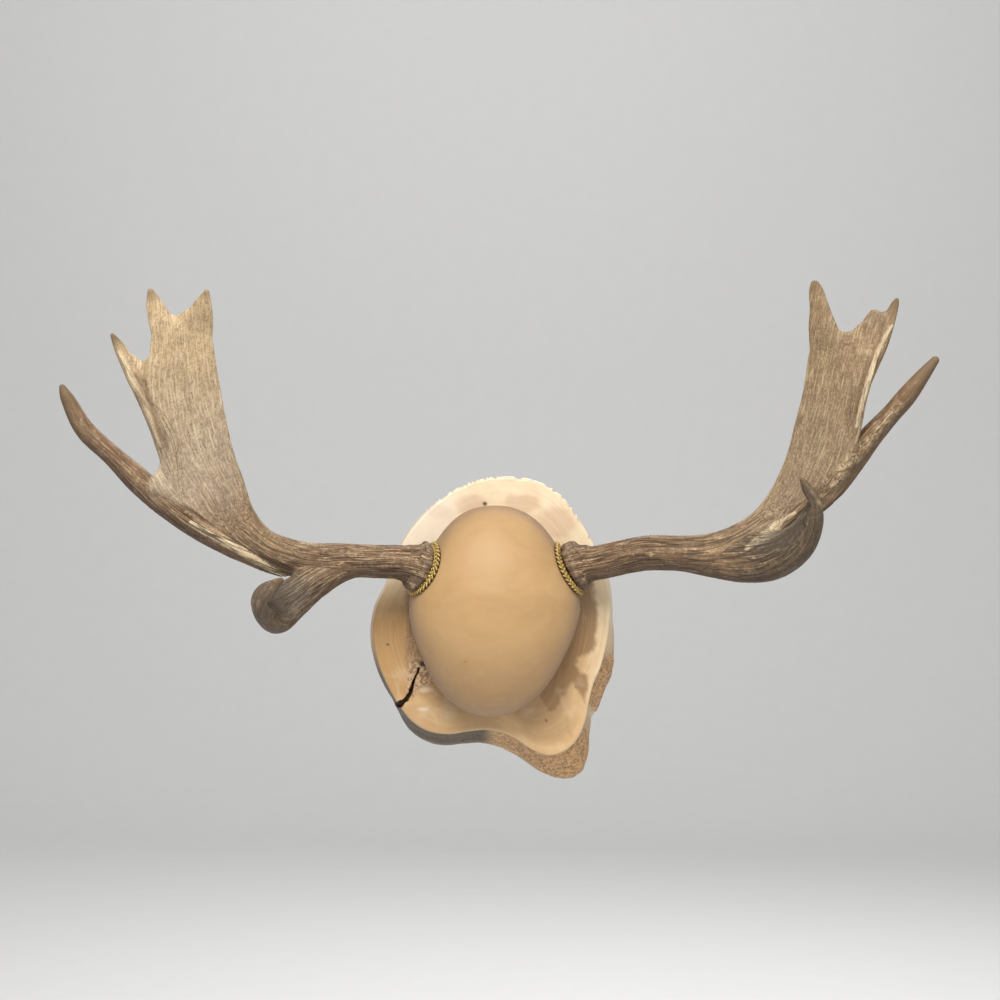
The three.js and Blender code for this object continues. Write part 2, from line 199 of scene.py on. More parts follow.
@dataclass
class Surface:
    """A mesh as arrays, in millimetres."""

    points: Array
    polygons: list[Array]

    def outward(self) -> Surface:
        """Turns every face round if the signed volume under the faces is negative.

        Returns:
            The surface itself.
        """
        volume = 0.0
        for faces in self.polygons:
            a = self.points[faces[:, 0]]
            for k in range(1, faces.shape[1] - 1):
                volume += np.sum(a * np.cross(self.points[faces[:, k]], self.points[faces[:, k + 1]]))
        if volume < 0:
            self.polygons = [faces[:, ::-1] for faces in self.polygons]
        return self

    def normals(self) -> Array:
        """The direction at each point: the sum of its faces' diagonal cross products, at length 1."""
        total = np.zeros_like(self.points)
        for faces in self.polygons:
            corners = self.points[faces]
            across = np.cross(corners[:, 2] - corners[:, 0], corners[:, -1] - corners[:, 1])
            for k in range(faces.shape[1]):
                for axis in range(3):
                    total[:, axis] += np.bincount(faces[:, k], across[:, axis], len(self.points))
        return unit(total)

    def relaxed(self, rounds: int, amount: Array, only_fill: bool = False,
                along: Array | None = None) -> None:
        """Moves each point towards the mean of its neighbours.

        Args:
            rounds: how often this is done.
            amount: how far each point goes, from 0 to 1.
            only_fill: keeps only the part of a move that goes out of the surface, so that a hollow corner
                is filled to a fillet and nothing shrinks.
            along: the only direction that each point may move in, where there is one.
        """
        pairs = np.vstack([
            np.column_stack([faces[:, k], faces[:, (k + 1) % faces.shape[1]]])
            for faces in self.polygons for k in range(faces.shape[1])
        ])
        count = len(self.points)
        degree = np.maximum(np.bincount(pairs[:, 0], minlength=count), 1)[:, None]
        for turn in range(rounds):
            mean = np.column_stack([
                np.bincount(pairs[:, 0], self.points[pairs[:, 1], axis], count) for axis in range(3)
            ]) / degree
            step = amount[:, None] * (mean - self.points)
            if along is not None:
                step = along * np.sum(step * along, axis=1)[:, None]
            if only_fill:
                normals = self.normals() if turn % 6 == 0 else normals
                step = normals * np.maximum(0, np.sum(step * normals, axis=1))[:, None]
            self.points = self.points + step

    def piece(self, name: str, material: bpy.types.Material) -> bpy.types.Object:
        """Puts the arrays into a smooth-shaded Blender object at the origin.

        Args:
            name: the object's name.
            material: its finish.

        Returns:
            The new object, linked to the scene.
        """
        mesh = bpy.data.meshes.new(name)
        corners = np.concatenate([faces.ravel() for faces in self.polygons])
        sizes = np.concatenate([np.full(len(faces), faces.shape[1]) for faces in self.polygons])
        mesh.vertices.add(len(self.points))
        mesh.loops.add(len(corners))
        mesh.polygons.add(len(sizes))
        mesh.vertices.foreach_set("co", (self.points * MM).ravel())
        mesh.loops.foreach_set("vertex_index", corners.astype(np.int32))
        mesh.polygons.foreach_set("loop_start", (np.cumsum(sizes) - sizes).astype(np.int32))
        mesh.update(calc_edges=True)
        mesh.validate()
        mesh.shade_smooth()
        made = bpy.data.objects.new(name, mesh)
        bpy.context.scene.collection.objects.link(made)
        made.data.materials.append(material)
        return made


def surface_of(made: bpy.types.Object) -> Surface:
    """Reads a Blender object's mesh, with its modifiers, back into arrays.

    Args:
        made: the object.

    Returns:
        The mesh as a surface, in millimetres.
    """
    bpy.context.view_layer.update()
    mesh = bpy.data.meshes.new_from_object(made.evaluated_get(bpy.context.evaluated_depsgraph_get()))
    points = np.empty(len(mesh.vertices) * 3)
    mesh.vertices.foreach_get("co", points)
    corners = np.empty(len(mesh.loops), dtype=np.int32)
    mesh.loops.foreach_get("vertex_index", corners)
    sizes = np.empty(len(mesh.polygons), dtype=np.int32)
    mesh.polygons.foreach_get("loop_total", sizes)
    starts = np.cumsum(sizes) - sizes
    polygons = [
        corners[starts[sizes == size][:, None] + np.arange(size)] for size in np.unique(sizes)
    ]
    bpy.data.meshes.remove(mesh)
    return Surface(points.reshape(-1, 3) / MM, polygons)


def removed(made: bpy.types.Object) -> None:
    """Deletes an object that was only a step on the way to a piece."""
    mesh = made.data
    bpy.data.objects.remove(made)
    bpy.data.meshes.remove(mesh)


def attribute(made: bpy.types.Object, name: str, columns: Sequence[Array]) -> None:
    """Stores three numbers per point under a name that a material can read.

    Args:
        made: the piece.
        name: the attribute's name.
        columns: the three numbers, each an array with one entry per point.
    """
    layer = made.data.attributes.new(name, "FLOAT_VECTOR", "POINT")
    layer.data.foreach_set("vector", np.column_stack(columns).astype(np.float32).ravel())


def grid_faces(rings: int, sides: int, closed: bool = False, offset: int = 0) -> Array:
    """Quads between rings of points, where each ring closes on itself.

    Args:
        rings: how many rings.
        sides: points in each ring.
        closed: whether the last ring joins the first.
        offset: number of the first point.

    Returns:
        One row of four point numbers per quad.
    """
    ring = np.arange(rings if closed else rings - 1)[:, None]
    side = np.arange(sides)[None, :]
    here, there = ring * sides, ((ring + 1) % rings) * sides
    after = (side + 1) % sides
    return offset + np.stack([here + side, here + after, there + after, there + side], axis=-1).reshape(-1, 4)


def swept(centres: Array, wide: Array, thin: Array, widths: Array, depths: Array, sides: int,
          fullness: Array | float = 1.0, curl: Array | float = 0.0, closed: bool = False) -> Surface:
    """Carries an oval along a path.

    A point at angle u of a ring is the centre + wide * width * cos(u)^p + thin * (depth * sin(u)^p + curl *
    cos(u)^2p), where p is the fullness and a power keeps the sign of its base.

    Args:
        centres: the path, one row per ring.
        wide: the oval's long direction at each ring.
        thin: its short direction.
        widths: half its width.
        depths: half its thickness.
        sides: points round the oval.
        fullness: the power p; below 1 the oval fills its box.
        curl: how far the middle bends back from the sides.
        closed: whether the path is a loop. An open one gets a face at each end.

    Returns:
        The closed surface.
    """
    count = len(centres)
    angle = np.linspace(0, 2 * math.pi, sides, endpoint=False)[None, :]
    shaped = np.broadcast_to(np.asarray(fullness, dtype=float), (count,))[:, None]
    bend = np.broadcast_to(np.asarray(curl, dtype=float), (count,))[:, None]
    across = np.sign(np.cos(angle)) * np.abs(np.cos(angle)) ** shaped
    height = np.sign(np.sin(angle)) * np.abs(np.sin(angle)) ** shaped
    points = (centres[:, None, :]
              + wide[:, None, :] * (widths[:, None] * across)[..., None]
              + thin[:, None, :] * (depths[:, None] * height + bend * across**2)[..., None])
    polygons = [grid_faces(count, sides, closed)]
    if not closed:
        polygons.append(np.arange(sides)[None, ::-1])
        polygons.append(np.arange(sides)[None, :] + (count - 1) * sides)
    return Surface(points.reshape(-1, 3), polygons).outward()


def together(surfaces: Sequence[Surface]) -> Surface:
    """Lists several surfaces as one, without joining what crosses."""
    polygons, start = [], 0
    for surface in surfaces:
        polygons += [faces + start for faces in surface.polygons]
        start += len(surface.points)
    return Surface(np.vstack([surface.points for surface in surfaces]), polygons)


# ---------------------------------------------------------------- materials


def linear(colour: str) -> tuple[float, float, float, float]:
    """Turns an sRGB hex colour into linear light.

    Args:
        colour: such as "#d2a672".

    Returns:
        Red, green, blue and an alpha of 1.
    """
    parts = [int(colour[k:k + 2], 16) / 255 for k in (1, 3, 5)]
    red, green, blue = (p / 12.92 if p <= 0.04045 else ((p + 0.055) / 1.055) ** 2.4 for p in parts)
    return red, green, blue, 1.0


class Finish:
    """A material under construction: its node tree and its shader."""

    def __init__(self, name: str, **constants: float) -> None:
        """Starts a material.

        Args:
            name: the real material and how it is finished.
            constants: the shader's own sockets, with underscores for spaces.
        """
        self.material = bpy.data.materials.new(name)
        self.material.use_nodes = True
        self.tree = self.material.node_tree
        self.shader = self.tree.nodes["Principled BSDF"]
        for socket, value in constants.items():
            self.shader.inputs[socket.replace("_", " ")].default_value = value

    def add(self, kind: str, inputs: dict[Any, Any] | None = None, output: int | str = 0, **settings: Any
            ) -> bpy.types.NodeSocket:
        """Adds one node.

        Args:
            kind: the node's type without its ShaderNode prefix.
            inputs: a value or another node's output for each input, by name or number.
            output: the output to hand back.
            settings: the node's own settings.

        Returns:
            The chosen output.
        """
        node = self.tree.nodes.new("ShaderNode" + kind)
        for key, value in settings.items():
            setattr(node, key, value)
        for key, value in (inputs or {}).items():
            if isinstance(value, bpy.types.NodeSocket):
                self.tree.links.new(value, node.inputs[key])
            else:
                node.inputs[key].default_value = value
        return node.outputs[output]

    def mix(self, share: Any, first: Any, second: Any, blend: str = "MIX") -> bpy.types.NodeSocket:
        """Blends two colours, each a hex string or an output, by a share from 0 to 1."""
        first, second = (linear(c) if isinstance(c, str) else c for c in (first, second))
        return self.add("Mix", {0: share, 6: first, 7: second}, 2, data_type="RGBA", blend_type=blend)

    def coats(self, base: Any, colours: Sequence[tuple[Any, Any]]) -> Any:
        """Lays colours over a base one after another, each given as its share, 0 to 1, and itself."""
        for share, colour in colours:
            base = self.mix(share, base, colour)
        return base

    def ramp(self, value: Any, low: float, high: float, bottom: float = 0.0, top: float = 1.0
             ) -> bpy.types.NodeSocket:
        """Carries a value's range low to high smoothly onto bottom to top."""
        return self.add("MapRange", {0: value, 1: low, 2: high, 3: bottom, 4: top},
                        interpolation_type="SMOOTHSTEP")

    def figure(self, place: Any, size: float, stretch: tuple[float, float, float] = (1, 1, 1),
               detail: float = 2.0, warp: float = 0.0) -> bpy.types.NodeSocket:
        """Noise over a place, about 0 to 1.

        Args:
            place: the coordinates, in metres.
            size: millimetres from one light patch to the next.
            stretch: how many times longer the patches are along each axis.
            detail: layers of finer noise.
            warp: how far the pattern bends on itself.

        Returns:
            The noise.
        """
        scale = tuple(1 / (size * MM * part) for part in stretch)
        scaled = self.add("Mapping", {"Vector": place, "Scale": scale})
        return self.add("TexNoise", {"Vector": scaled, "Scale": 1.0, "Detail": detail, "Distortion": warp})

    def sum(self, terms: Sequence[tuple[Any, float]]) -> bpy.types.NodeSocket:
        """Adds values, each times its own factor."""
        total: Any = 0.0
        for value, factor in terms:
            total = self.add("Math", {0: value, 1: factor, 2: total}, operation="MULTIPLY_ADD")
        return total

    def product(self, first: Any, second: Any, factor: float) -> bpy.types.NodeSocket:
        """Multiplies two values and a factor, held between 0 and 1."""
        both = self.add("Math", {0: first, 1: second}, operation="MULTIPLY")
        return self.add("Math", {0: both, 1: factor}, operation="MULTIPLY", use_clamp=True)

    def line(self, value: Any, level: float, width: float) -> bpy.types.NodeSocket:
        """A line where a value passes a level: 1 on it, and 0 where the value is a width away."""
        away = self.add("Math", {0: value, 1: level}, operation="SUBTRACT")
        return self.ramp(self.add("Math", {0: away}, operation="ABSOLUTE"), 0.0, width, 1.0, 0.0)

    def parts(self, name: str) -> tuple[bpy.types.NodeSocket, list[bpy.types.NodeSocket]]:
        """Reads a vector attribute of the mesh, whole and as its three numbers."""
        whole = self.add("Attribute", attribute_name=name, output="Vector")
        split = self.add("SeparateXYZ", {0: whole}).node
        return whole, list(split.outputs)

    def dress(self, colour: Any, roughness: Any, height: Any, depth: float) -> bpy.types.Material:
        """Links the colour, the roughness and a bump, and hands the material back.

        Args:
            colour: base colour.
            roughness: roughness from 0 to 1.
            height: the bump's height, 0 to 1.
            depth: millimetres of relief at height 1.

        Returns:
            The finished material.
        """
        bump = self.add("Bump", {"Height": height, "Distance": depth * MM, "Strength": 1.0})
        for socket, value in (("Base Color", colour), ("Roughness", roughness), ("Normal", bump)):
            self.tree.links.new(value, self.shader.inputs[socket])
        return self.material


@dataclass(frozen=True)
class WeatheredBone:
    """Antler bone, rubbed on its ridges and stained in its vessel grooves.

    It gives the eye pale polished ridges over brown grooves on the beams, a tan streaked palm, and darker
    smooth tips. Painted highlights lie on the rim strips, and painted shade darkens the undersides, the
    brow tine's cup and the hollow lines beside the rim strips.
    """

    name: str = "weathered antler bone"
    beam: str = "#745436"
    olive: str = "#806443"
    palm: str = "#b29d83"
    palm_top: str = "#c6a97f"
    streak: str = "#dcc7a4"
    brow: str = "#5a4c3d"
    # painted shade in the brow tine's cup
    scoop_shade: str = "#4f453a"
    tip: str = "#6e583b"
    groove: str = "#33200f"
    ridge: str = "#c69c6c"
    # painted highlight on the rim strips and the palm's upward edges
    rim: str = "#efd8b0"
    burr: str = "#6c5340"
    # under: the undersides, partly the bone's own darker tone and partly painted shade
    under: str = "#443122"
    # painted shade in the hollow lines beside the rim strips
    hollow_shade: str = "#6d5238"
    pearl: str = "#d8b88c"
    vein: str = "#5b3f25"
    worn_light: str = "#dcc39c"
    worn_dark: str = "#b29067"
    umber: str = "#6f563b"
    soil: str = "#6f5639"
    stain: str = "#5c4630"
    fold: str = "#6a4f33"
    dirt: str = "#4a3a2a"

    def material(self) -> bpy.types.Material:
        """Builds the material.

        Attributes read: grain (metres across, through and along the limb), relief (groove, ridge, pearl),
        zones (palm, tip, painted shade in the brow tine's cup), edges (rim: painted highlight, burr,
        underside: partly the bone's own darker tone, partly painted shade), hues (brow, palm top, olive)
        and growth (furrow, network, painted shade in the hollow lines beside the rim strips).

        Returns:
            The material.
        """
        bone = Finish(self.name, IOR=1.5)
        grain, _ = bone.parts("grain")
        _, (groove, ridge, pearl) = bone.parts("relief")
        _, (palm, tip, scoop_shade) = bone.parts("zones")
        _, (rim, burr, under) = bone.parts("edges")
        _, (brow, top, olive) = bone.parts("hues")
        _, (furrow, network, hollow_shade) = bone.parts("growth")
        place = bone.add("TexCoord", output="Object")
        vessel = bone.figure(grain, 5.2, (1, 1, 20), 1.5, 0.25)
        hair = bone.figure(grain, 2.4, (1, 1, 26), 1.0, 0.2)
        mottle = bone.figure(place, 6.0, detail=4.0, warp=0.4)
        bead = bone.add("TexVoronoi", {"Vector": place, "Scale": 1 / (2.4 * MM)}, "Distance")
        streak = bone.figure(grain, 1.1, (1, 1, 13), 3.0, 0.2)
        sand = bone.figure(place, 1.7, (1, 1, 1.5), 3.0)
        plume = bone.figure(grain, 1.2, (1, 1, 24), 2.0, 0.45)
        worm = bone.figure(grain, 2.6, (1, 1, 4.2), 1.5, 0.9)
        blotch = bone.figure(place, 17.0, detail=5.0, warp=0.6)
        grit = bone.figure(place, 1.3, detail=2.0)
        dark_line = bone.line(vessel, 0.5, 0.045)
        hair_line = bone.line(hair, 0.5, 0.04)
        beaded = bone.ramp(bead, 0.75, 0.35, 0.25, 1.0)
        pale_line = bone.product(bone.line(vessel, 0.57, 0.03), beaded, 1.0)
        bends = bone.line(worm, 0.5, 0.075)
        worn = bone.mix(bone.ramp(mottle, 0.4, 0.6), self.worn_light, self.worn_dark)
        veined = bone.mix(bends, worn, self.vein)
        base = bone.coats(bone.mix(palm, self.beam, self.palm), [
            (olive, self.olive),
            (top, self.palm_top),
            (brow, self.brow),
            (burr, self.burr),
            (bone.ramp(blotch, 0.42, 0.66, 0.0, 0.3025), self.umber),
            (bone.ramp(blotch, 0.45, 0.28, 0.0, 0.175), self.ridge),
            (bone.ramp(mottle, 0.5, 0.7, 0.0, 0.25), self.umber),
            (bone.ramp(mottle, 0.48, 0.3, 0.0, 0.225), self.streak),
            (bone.ramp(streak, 0.5, 0.66, 0.0, 0.3), self.streak),
            (bone.ramp(streak, 0.5, 0.34, 0.0, 0.25), self.stain),
            (bone.product(bone.ramp(sand, 0.52, 0.7), palm, 0.5), self.streak),
            (bone.product(bone.ramp(sand, 0.48, 0.3), palm, 0.5), self.soil),
            (bone.product(bone.ramp(plume, 0.56, 0.66), palm, 0.6), self.streak),
            (bone.product(bone.line(plume, 0.42, 0.022), palm, 0.6), self.fold),
            (bone.sum([(ridge, 0.35)]), self.ridge),
            (bone.product(pale_line, furrow, 0.85), self.pearl),
            # Painted highlight on the rim strips and the palm's upward edges.
            (bone.product(rim, bone.ramp(streak, 0.34, 0.56, 0.35, 0.95), 1.0), self.rim),
            (bone.sum([(pearl, 0.5)]), self.pearl),
            (bone.sum([(groove, 0.6)]), self.groove),
            # Painted shade in the brow tine's cup.
            (bone.sum([(scoop_shade, 0.8)]), self.scoop_shade),
            (bone.sum([(tip, 0.9)]), self.tip),
            # Painted shade in the hollow lines beside the rim strips.
            (hollow_shade, self.hollow_shade),
            (bone.product(network, bone.ramp(streak, 0.3, 0.6, 0.6, 1.0), 0.8), veined),
            (bone.product(dark_line, furrow, 0.8), self.groove),
            (bone.product(hair_line, furrow, 0.5), self.groove),
            # Partly the bone's own darker tone and partly painted shade where the bone faces down.
            (bone.sum([(under, 0.6)]), self.under),
            (bone.ramp(grit, 0.6, 0.72, 0.0, 0.35), self.dirt),
        ])
        rough = bone.sum([(groove, 0.2), (tip, -0.1), (streak, 0.2), (0.5, 1.0)])
        height = bone.sum([
            (bone.product(dark_line, furrow, 1.0), -0.7), (bone.product(hair_line, furrow, 1.0), -0.3),
            (bone.product(pale_line, furrow, 1.0), 0.4), (streak, 0.5), (grit, -0.15),
            (bone.product(bends, network, 1.0), -0.45),
        ])
        return bone.dress(base, rough, height, 0.6)


@dataclass(frozen=True)
class SkullLeather:
    """Smooth tan leather over the form: even and matt, with fine pores, and painted shade that darkens it
    towards its edges and its bottom.
    """

    middle: str = "#b79262"
    # edge: painted shade towards the form's edges
    edge: str = "#866647"
    # low: painted shade towards the form's bottom
    low: str = "#86694a"
    mottle: str = "#a98253"
    bloom: str = "#c39d6e"
    mark: str = "#7f5f3e"

    def material(self) -> bpy.types.Material:
        """Builds the material. Attributes read: painted_shade_and_scuff (painted shade towards the edges,
        painted shade towards the bottom, scuff mark).
        """
        hide = Finish("smooth tan leather", IOR=1.5, Sheen_Weight=0.12, Sheen_Roughness=0.5)
        _, (edge, low, mark) = hide.parts("painted_shade_and_scuff")
        place = hide.add("TexCoord", output="Object")
        cloud = hide.figure(place, 45.0, (1.8, 1, 0.8), 3.0, 0.5)
        faint = hide.figure(place, 7.0, (2.5, 1, 1), 3.0)
        pore = hide.add("TexVoronoi", {"Vector": place, "Scale": 1 / (0.9 * MM)}, "Distance")
        base = hide.coats(self.middle, [
            # Painted shade towards the edges.
            (edge, self.edge),
            # Painted shade towards the bottom.
            (hide.sum([(low, 0.55)]), self.low),
            (hide.ramp(cloud, 0.4, 0.7, 0.0, 0.5), self.mottle),
            (hide.ramp(faint, 0.45, 0.75, 0.0, 0.18), self.bloom),
            (mark, self.mark),
        ])
        rough = hide.sum([(faint, 0.16), (0.52, 1.0)])
        return hide.dress(base, rough, hide.sum([(pore, 0.5), (faint, 0.5)]), 0.12)


@dataclass(frozen=True)
class SawnWood:
    """A live-edge slice, sanded and clear-coated.

    It gives the eye cream sapwood along the rim, brown heartwood with faint year rings, and rough bark on
    the edge.
    """

    sap: str = "#ead6b3"
    gold: str = "#c99e67"
    heart: str = "#88643a"
    blush: str = "#c19b7c"
    # pale: painted glossy highlights, and chalky sapwood
    pale: str = "#eadcc8"
    ring: str = "#a37a4f"
    bark: str = "#c89f70"
    bark_dark: str = "#8b6d48"
    ember: str = "#c4884b"
    # bare: the debarked lower-left side, dark partly in its own right and partly as painted shade
    bare: str = "#43382a"
    bare_worn: str = "#5a4b37"
    split: str = "#7a5c3d"
    sawn: str = "#c9a77c"
    saw_mark: str = "#8f7350"
    fleck: str = "#8a6743"
    # dark spots in the wood; the largest is a hole whose dark inside is painted shade
    knot_and_hole_shade: str = "#2e221a"
    husk_dark: str = "#4c3a28"
    husk_fleck: str = "#46341f"
    torn: tuple[str, str] = ("#8b6c4c", "#c4a27c")
    chip: tuple[str, str] = ("#8d6d48", "#d0ae80")
    split_light: str = "#a37f58"

    def material(self) -> bpy.types.Material:
        """Builds the material.

        Attributes read: figure (metres along the year rings, across them, depth), zones (heart, with painted
        shadow in its left part; bark; bare edge, dark partly in its own right and partly as painted shade),
        marks (dark spots, the largest a hole painted with its shade; blush; crack), light (gold, with painted
        shadow in its left part; back; chip) and touches (painted glossy highlight, chalky sapwood, torn
        wood).

        Returns:
            The material.
        """
        wood = Finish("sanded live-edge wood", IOR=1.5, Coat_Weight=0.25, Coat_Roughness=0.22)
        figure, _ = wood.parts("figure")
        _, (heart, bark, bare) = wood.parts("zones")
        _, (knot_and_hole_shade, blush, crack) = wood.parts("marks")
        _, (gold, back, chip) = wood.parts("light")
        # streak here is the painted glossy highlight.
        _, (streak, chalky, torn) = wood.parts("touches")
        place = wood.add("TexCoord", output="Object")
        rings = wood.figure(figure, 1.7, (30, 1, 30), 3.0, 0.2)
        broad = wood.figure(figure, 9.0, (7, 1, 20), 4.0, 0.8)
        cloud = wood.figure(place, 24.0, detail=4.0, warp=0.6)
        fleck = wood.figure(place, 1.8, detail=3.0)
        lump = wood.figure(place, 3.4, detail=5.0, warp=0.6)
        husk_vein = wood.figure(place, 2.6, (1, 4, 1), 3.0, 0.8)
        kerf = wood.figure(place, 2.2, (60, 1, 1), 2.0, 0.1)
        sawn = wood.mix(wood.ramp(kerf, 0.4, 0.7, 0.0, 0.5), self.sawn, self.saw_mark)
        husk = wood.coats(wood.mix(wood.ramp(lump, 0.36, 0.64), self.bark_dark, self.bark), [
            (wood.ramp(husk_vein, 0.52, 0.66, 0.0, 0.6), self.ember),
            (wood.ramp(husk_vein, 0.4, 0.28, 0.0, 0.7), self.husk_dark),
            (wood.ramp(fleck, 0.62, 0.74, 0.0, 0.6), self.husk_fleck),
        ])
        base = wood.coats(self.sap, [
            (gold, self.gold),
            (heart, self.heart),
            (wood.ramp(cloud, 0.42, 0.7, 0.0, 0.15), self.ring),
            (wood.ramp(cloud, 0.45, 0.28, 0.0, 0.15), self.pale),
            (blush, self.blush),
            (wood.ramp(broad, 0.45, 0.7, 0.0, 0.2), self.ring),
            (wood.ramp(rings, 0.5, 0.72, 0.0, 0.1), self.ring),
            (wood.ramp(rings, 0.5, 0.3, 0.0, 0.1), self.sap),
            (wood.ramp(fleck, 0.68, 0.8, 0.0, 0.22), self.fleck),
            # Painted glossy highlights, and chalky sapwood.
            (wood.add("Math", {0: streak, 1: chalky}, operation="MAXIMUM"), self.pale),
            (back, wood.mix(wood.sum([(heart, 0.5)]), sawn, self.heart)),
            # The debarked side: partly its own dark colour, partly painted shade.
            (bare, wood.mix(wood.ramp(lump, 0.3, 0.7), self.bare, self.bare_worn)),
            (bark, husk),
            (torn, wood.mix(wood.ramp(lump, 0.4, 0.6), *self.torn)),
            (chip, wood.mix(wood.ramp(lump, 0.4, 0.62), *self.chip)),
            (crack, wood.mix(wood.ramp(lump, 0.4, 0.65), self.split, self.split_light)),
            # Dark spots; the largest is a hole, painted dark as its shade.
            (knot_and_hole_shade, self.knot_and_hole_shade),
        ])
        rough = wood.sum([(bark, 0.35), (bare, 0.35), (back, 0.3), (crack, 0.4), (torn, 0.2), (rings, 0.1),
                          (0.36, 1.0)])
        gnarl = wood.add("Math", {0: lump, 1: wood.sum([(bark, 1.0), (torn, 0.6)])}, operation="MULTIPLY")
        scored = wood.product(kerf, back, 0.5)
        height = wood.sum([(rings, 0.08), (fleck, 0.08), (gnarl, 1.3), (scored, 1.0)])
        return wood.dress(base, rough, height, 1.0)


@dataclass(frozen=True)
class GoldThread:
    """Metal-wrapped braid cord: yellow gold where it catches the light, brown in its wrapping's furrows."""

    bright: str = "#e3c47a"
    shade: str = "#876527"
    # gap: painted shade where a cord dips under the next
    gap: str = "#2c200e"

    def material(self) -> bpy.types.Material:
        """Builds the material. Attributes read: lay (turns along the cord, across it, shade)."""
        thread = Finish("gold braid thread", Metallic=0.55)
        _, (along, around, shade) = thread.parts("lay")
        turn = 2 * math.pi
        twist = thread.add("Math", {0: thread.sum([(along, turn), (around, turn)])}, operation="SINE")
        worn = thread.figure(thread.add("TexCoord", output="Object"), 2.5, detail=2.0)
        base = thread.coats(self.shade, [(thread.ramp(twist, -0.9, 0.4), self.bright), (shade, self.gap)])
        rough = thread.sum([(worn, 0.25), (0.25, 1.0)])
        return thread.dress(base, rough, thread.sum([(twist, 0.5)]), 0.25)


@dataclass(frozen=True)
class BlackTape:
    """Woven black tape under the braid: dull, and dark enough to outline the gold threads."""

    colour: str = "#1b1712"
    lint: str = "#4a3b1c"

    def material(self) -> bpy.types.Material:
        """Builds the material."""
        tape = Finish("black woven tape", IOR=1.45)
        place = tape.add("TexCoord", output="Object")
        weave = tape.add("TexVoronoi", {"Vector": place, "Scale": 1 / (0.8 * MM)}, "Distance")
        base = tape.mix(tape.ramp(weave, 0.1, 0.7, 0.5, 0.0), self.colour, self.lint)
        return tape.dress(base, tape.sum([(weave, 0.1), (0.8, 1.0)]), weave, 0.4)


@dataclass(frozen=True)
class ZincSteel:
    """Zinc-plated screw steel: bluish grey, lightly brushed by the turning of the head."""

    bright: str = "#b9b8b2"
    dull: str = "#7d7c77"

    def material(self) -> bpy.types.Material:
        """Builds the material."""
        steel = Finish("zinc-plated steel", Metallic=1.0)
        place = steel.add("TexCoord", output="Object")
        brushed = steel.figure(place, 0.8, (1, 8, 1), 2.0)
        base = steel.mix(brushed, self.dull, self.bright)
        return steel.dress(base, steel.sum([(brushed, 0.2), (0.25, 1.0)]), brushed, 0.05)


@dataclass(frozen=True)
class StudioPaper:
    """The pale paper that the mount is lit in front of."""

    colour: str = "#e3e2e0"
    cloud: str = "#dad9d7"

    def material(self) -> bpy.types.Material:
        """Builds the material."""
        paper = Finish("matt studio paper")
        tooth = paper.figure(paper.add("TexCoord", output="Object"), 60.0, detail=3.0)
        base = paper.mix(paper.ramp(tooth, 0.3, 0.7, 0.0, 0.15), self.colour, self.cloud)
        return paper.dress(base, paper.sum([(tooth, 0.05), (0.88, 1.0)]), tooth, 0.2)


# ---------------------------------------------------------------- the skull form


def onto_slot(piece: bpy.types.Object, slot: Slot, *nodes: str) -> bpy.types.Object:
    """Rides a piece on the mount, hides the CAD nodes that it stands for, and logs the slot that its finish
    comes from.

    Args:
        piece: the finished piece.
        slot: the record's material slot.
        nodes: the CAD nodes that it replaces.

    Returns:
        The piece.
    """
    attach(piece, "root")
    if nodes:
        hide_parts(*nodes)
    LOG.info("%s: %d faces, slot %s", piece.name, len(piece.data.polygons), slot.value)
    return piece


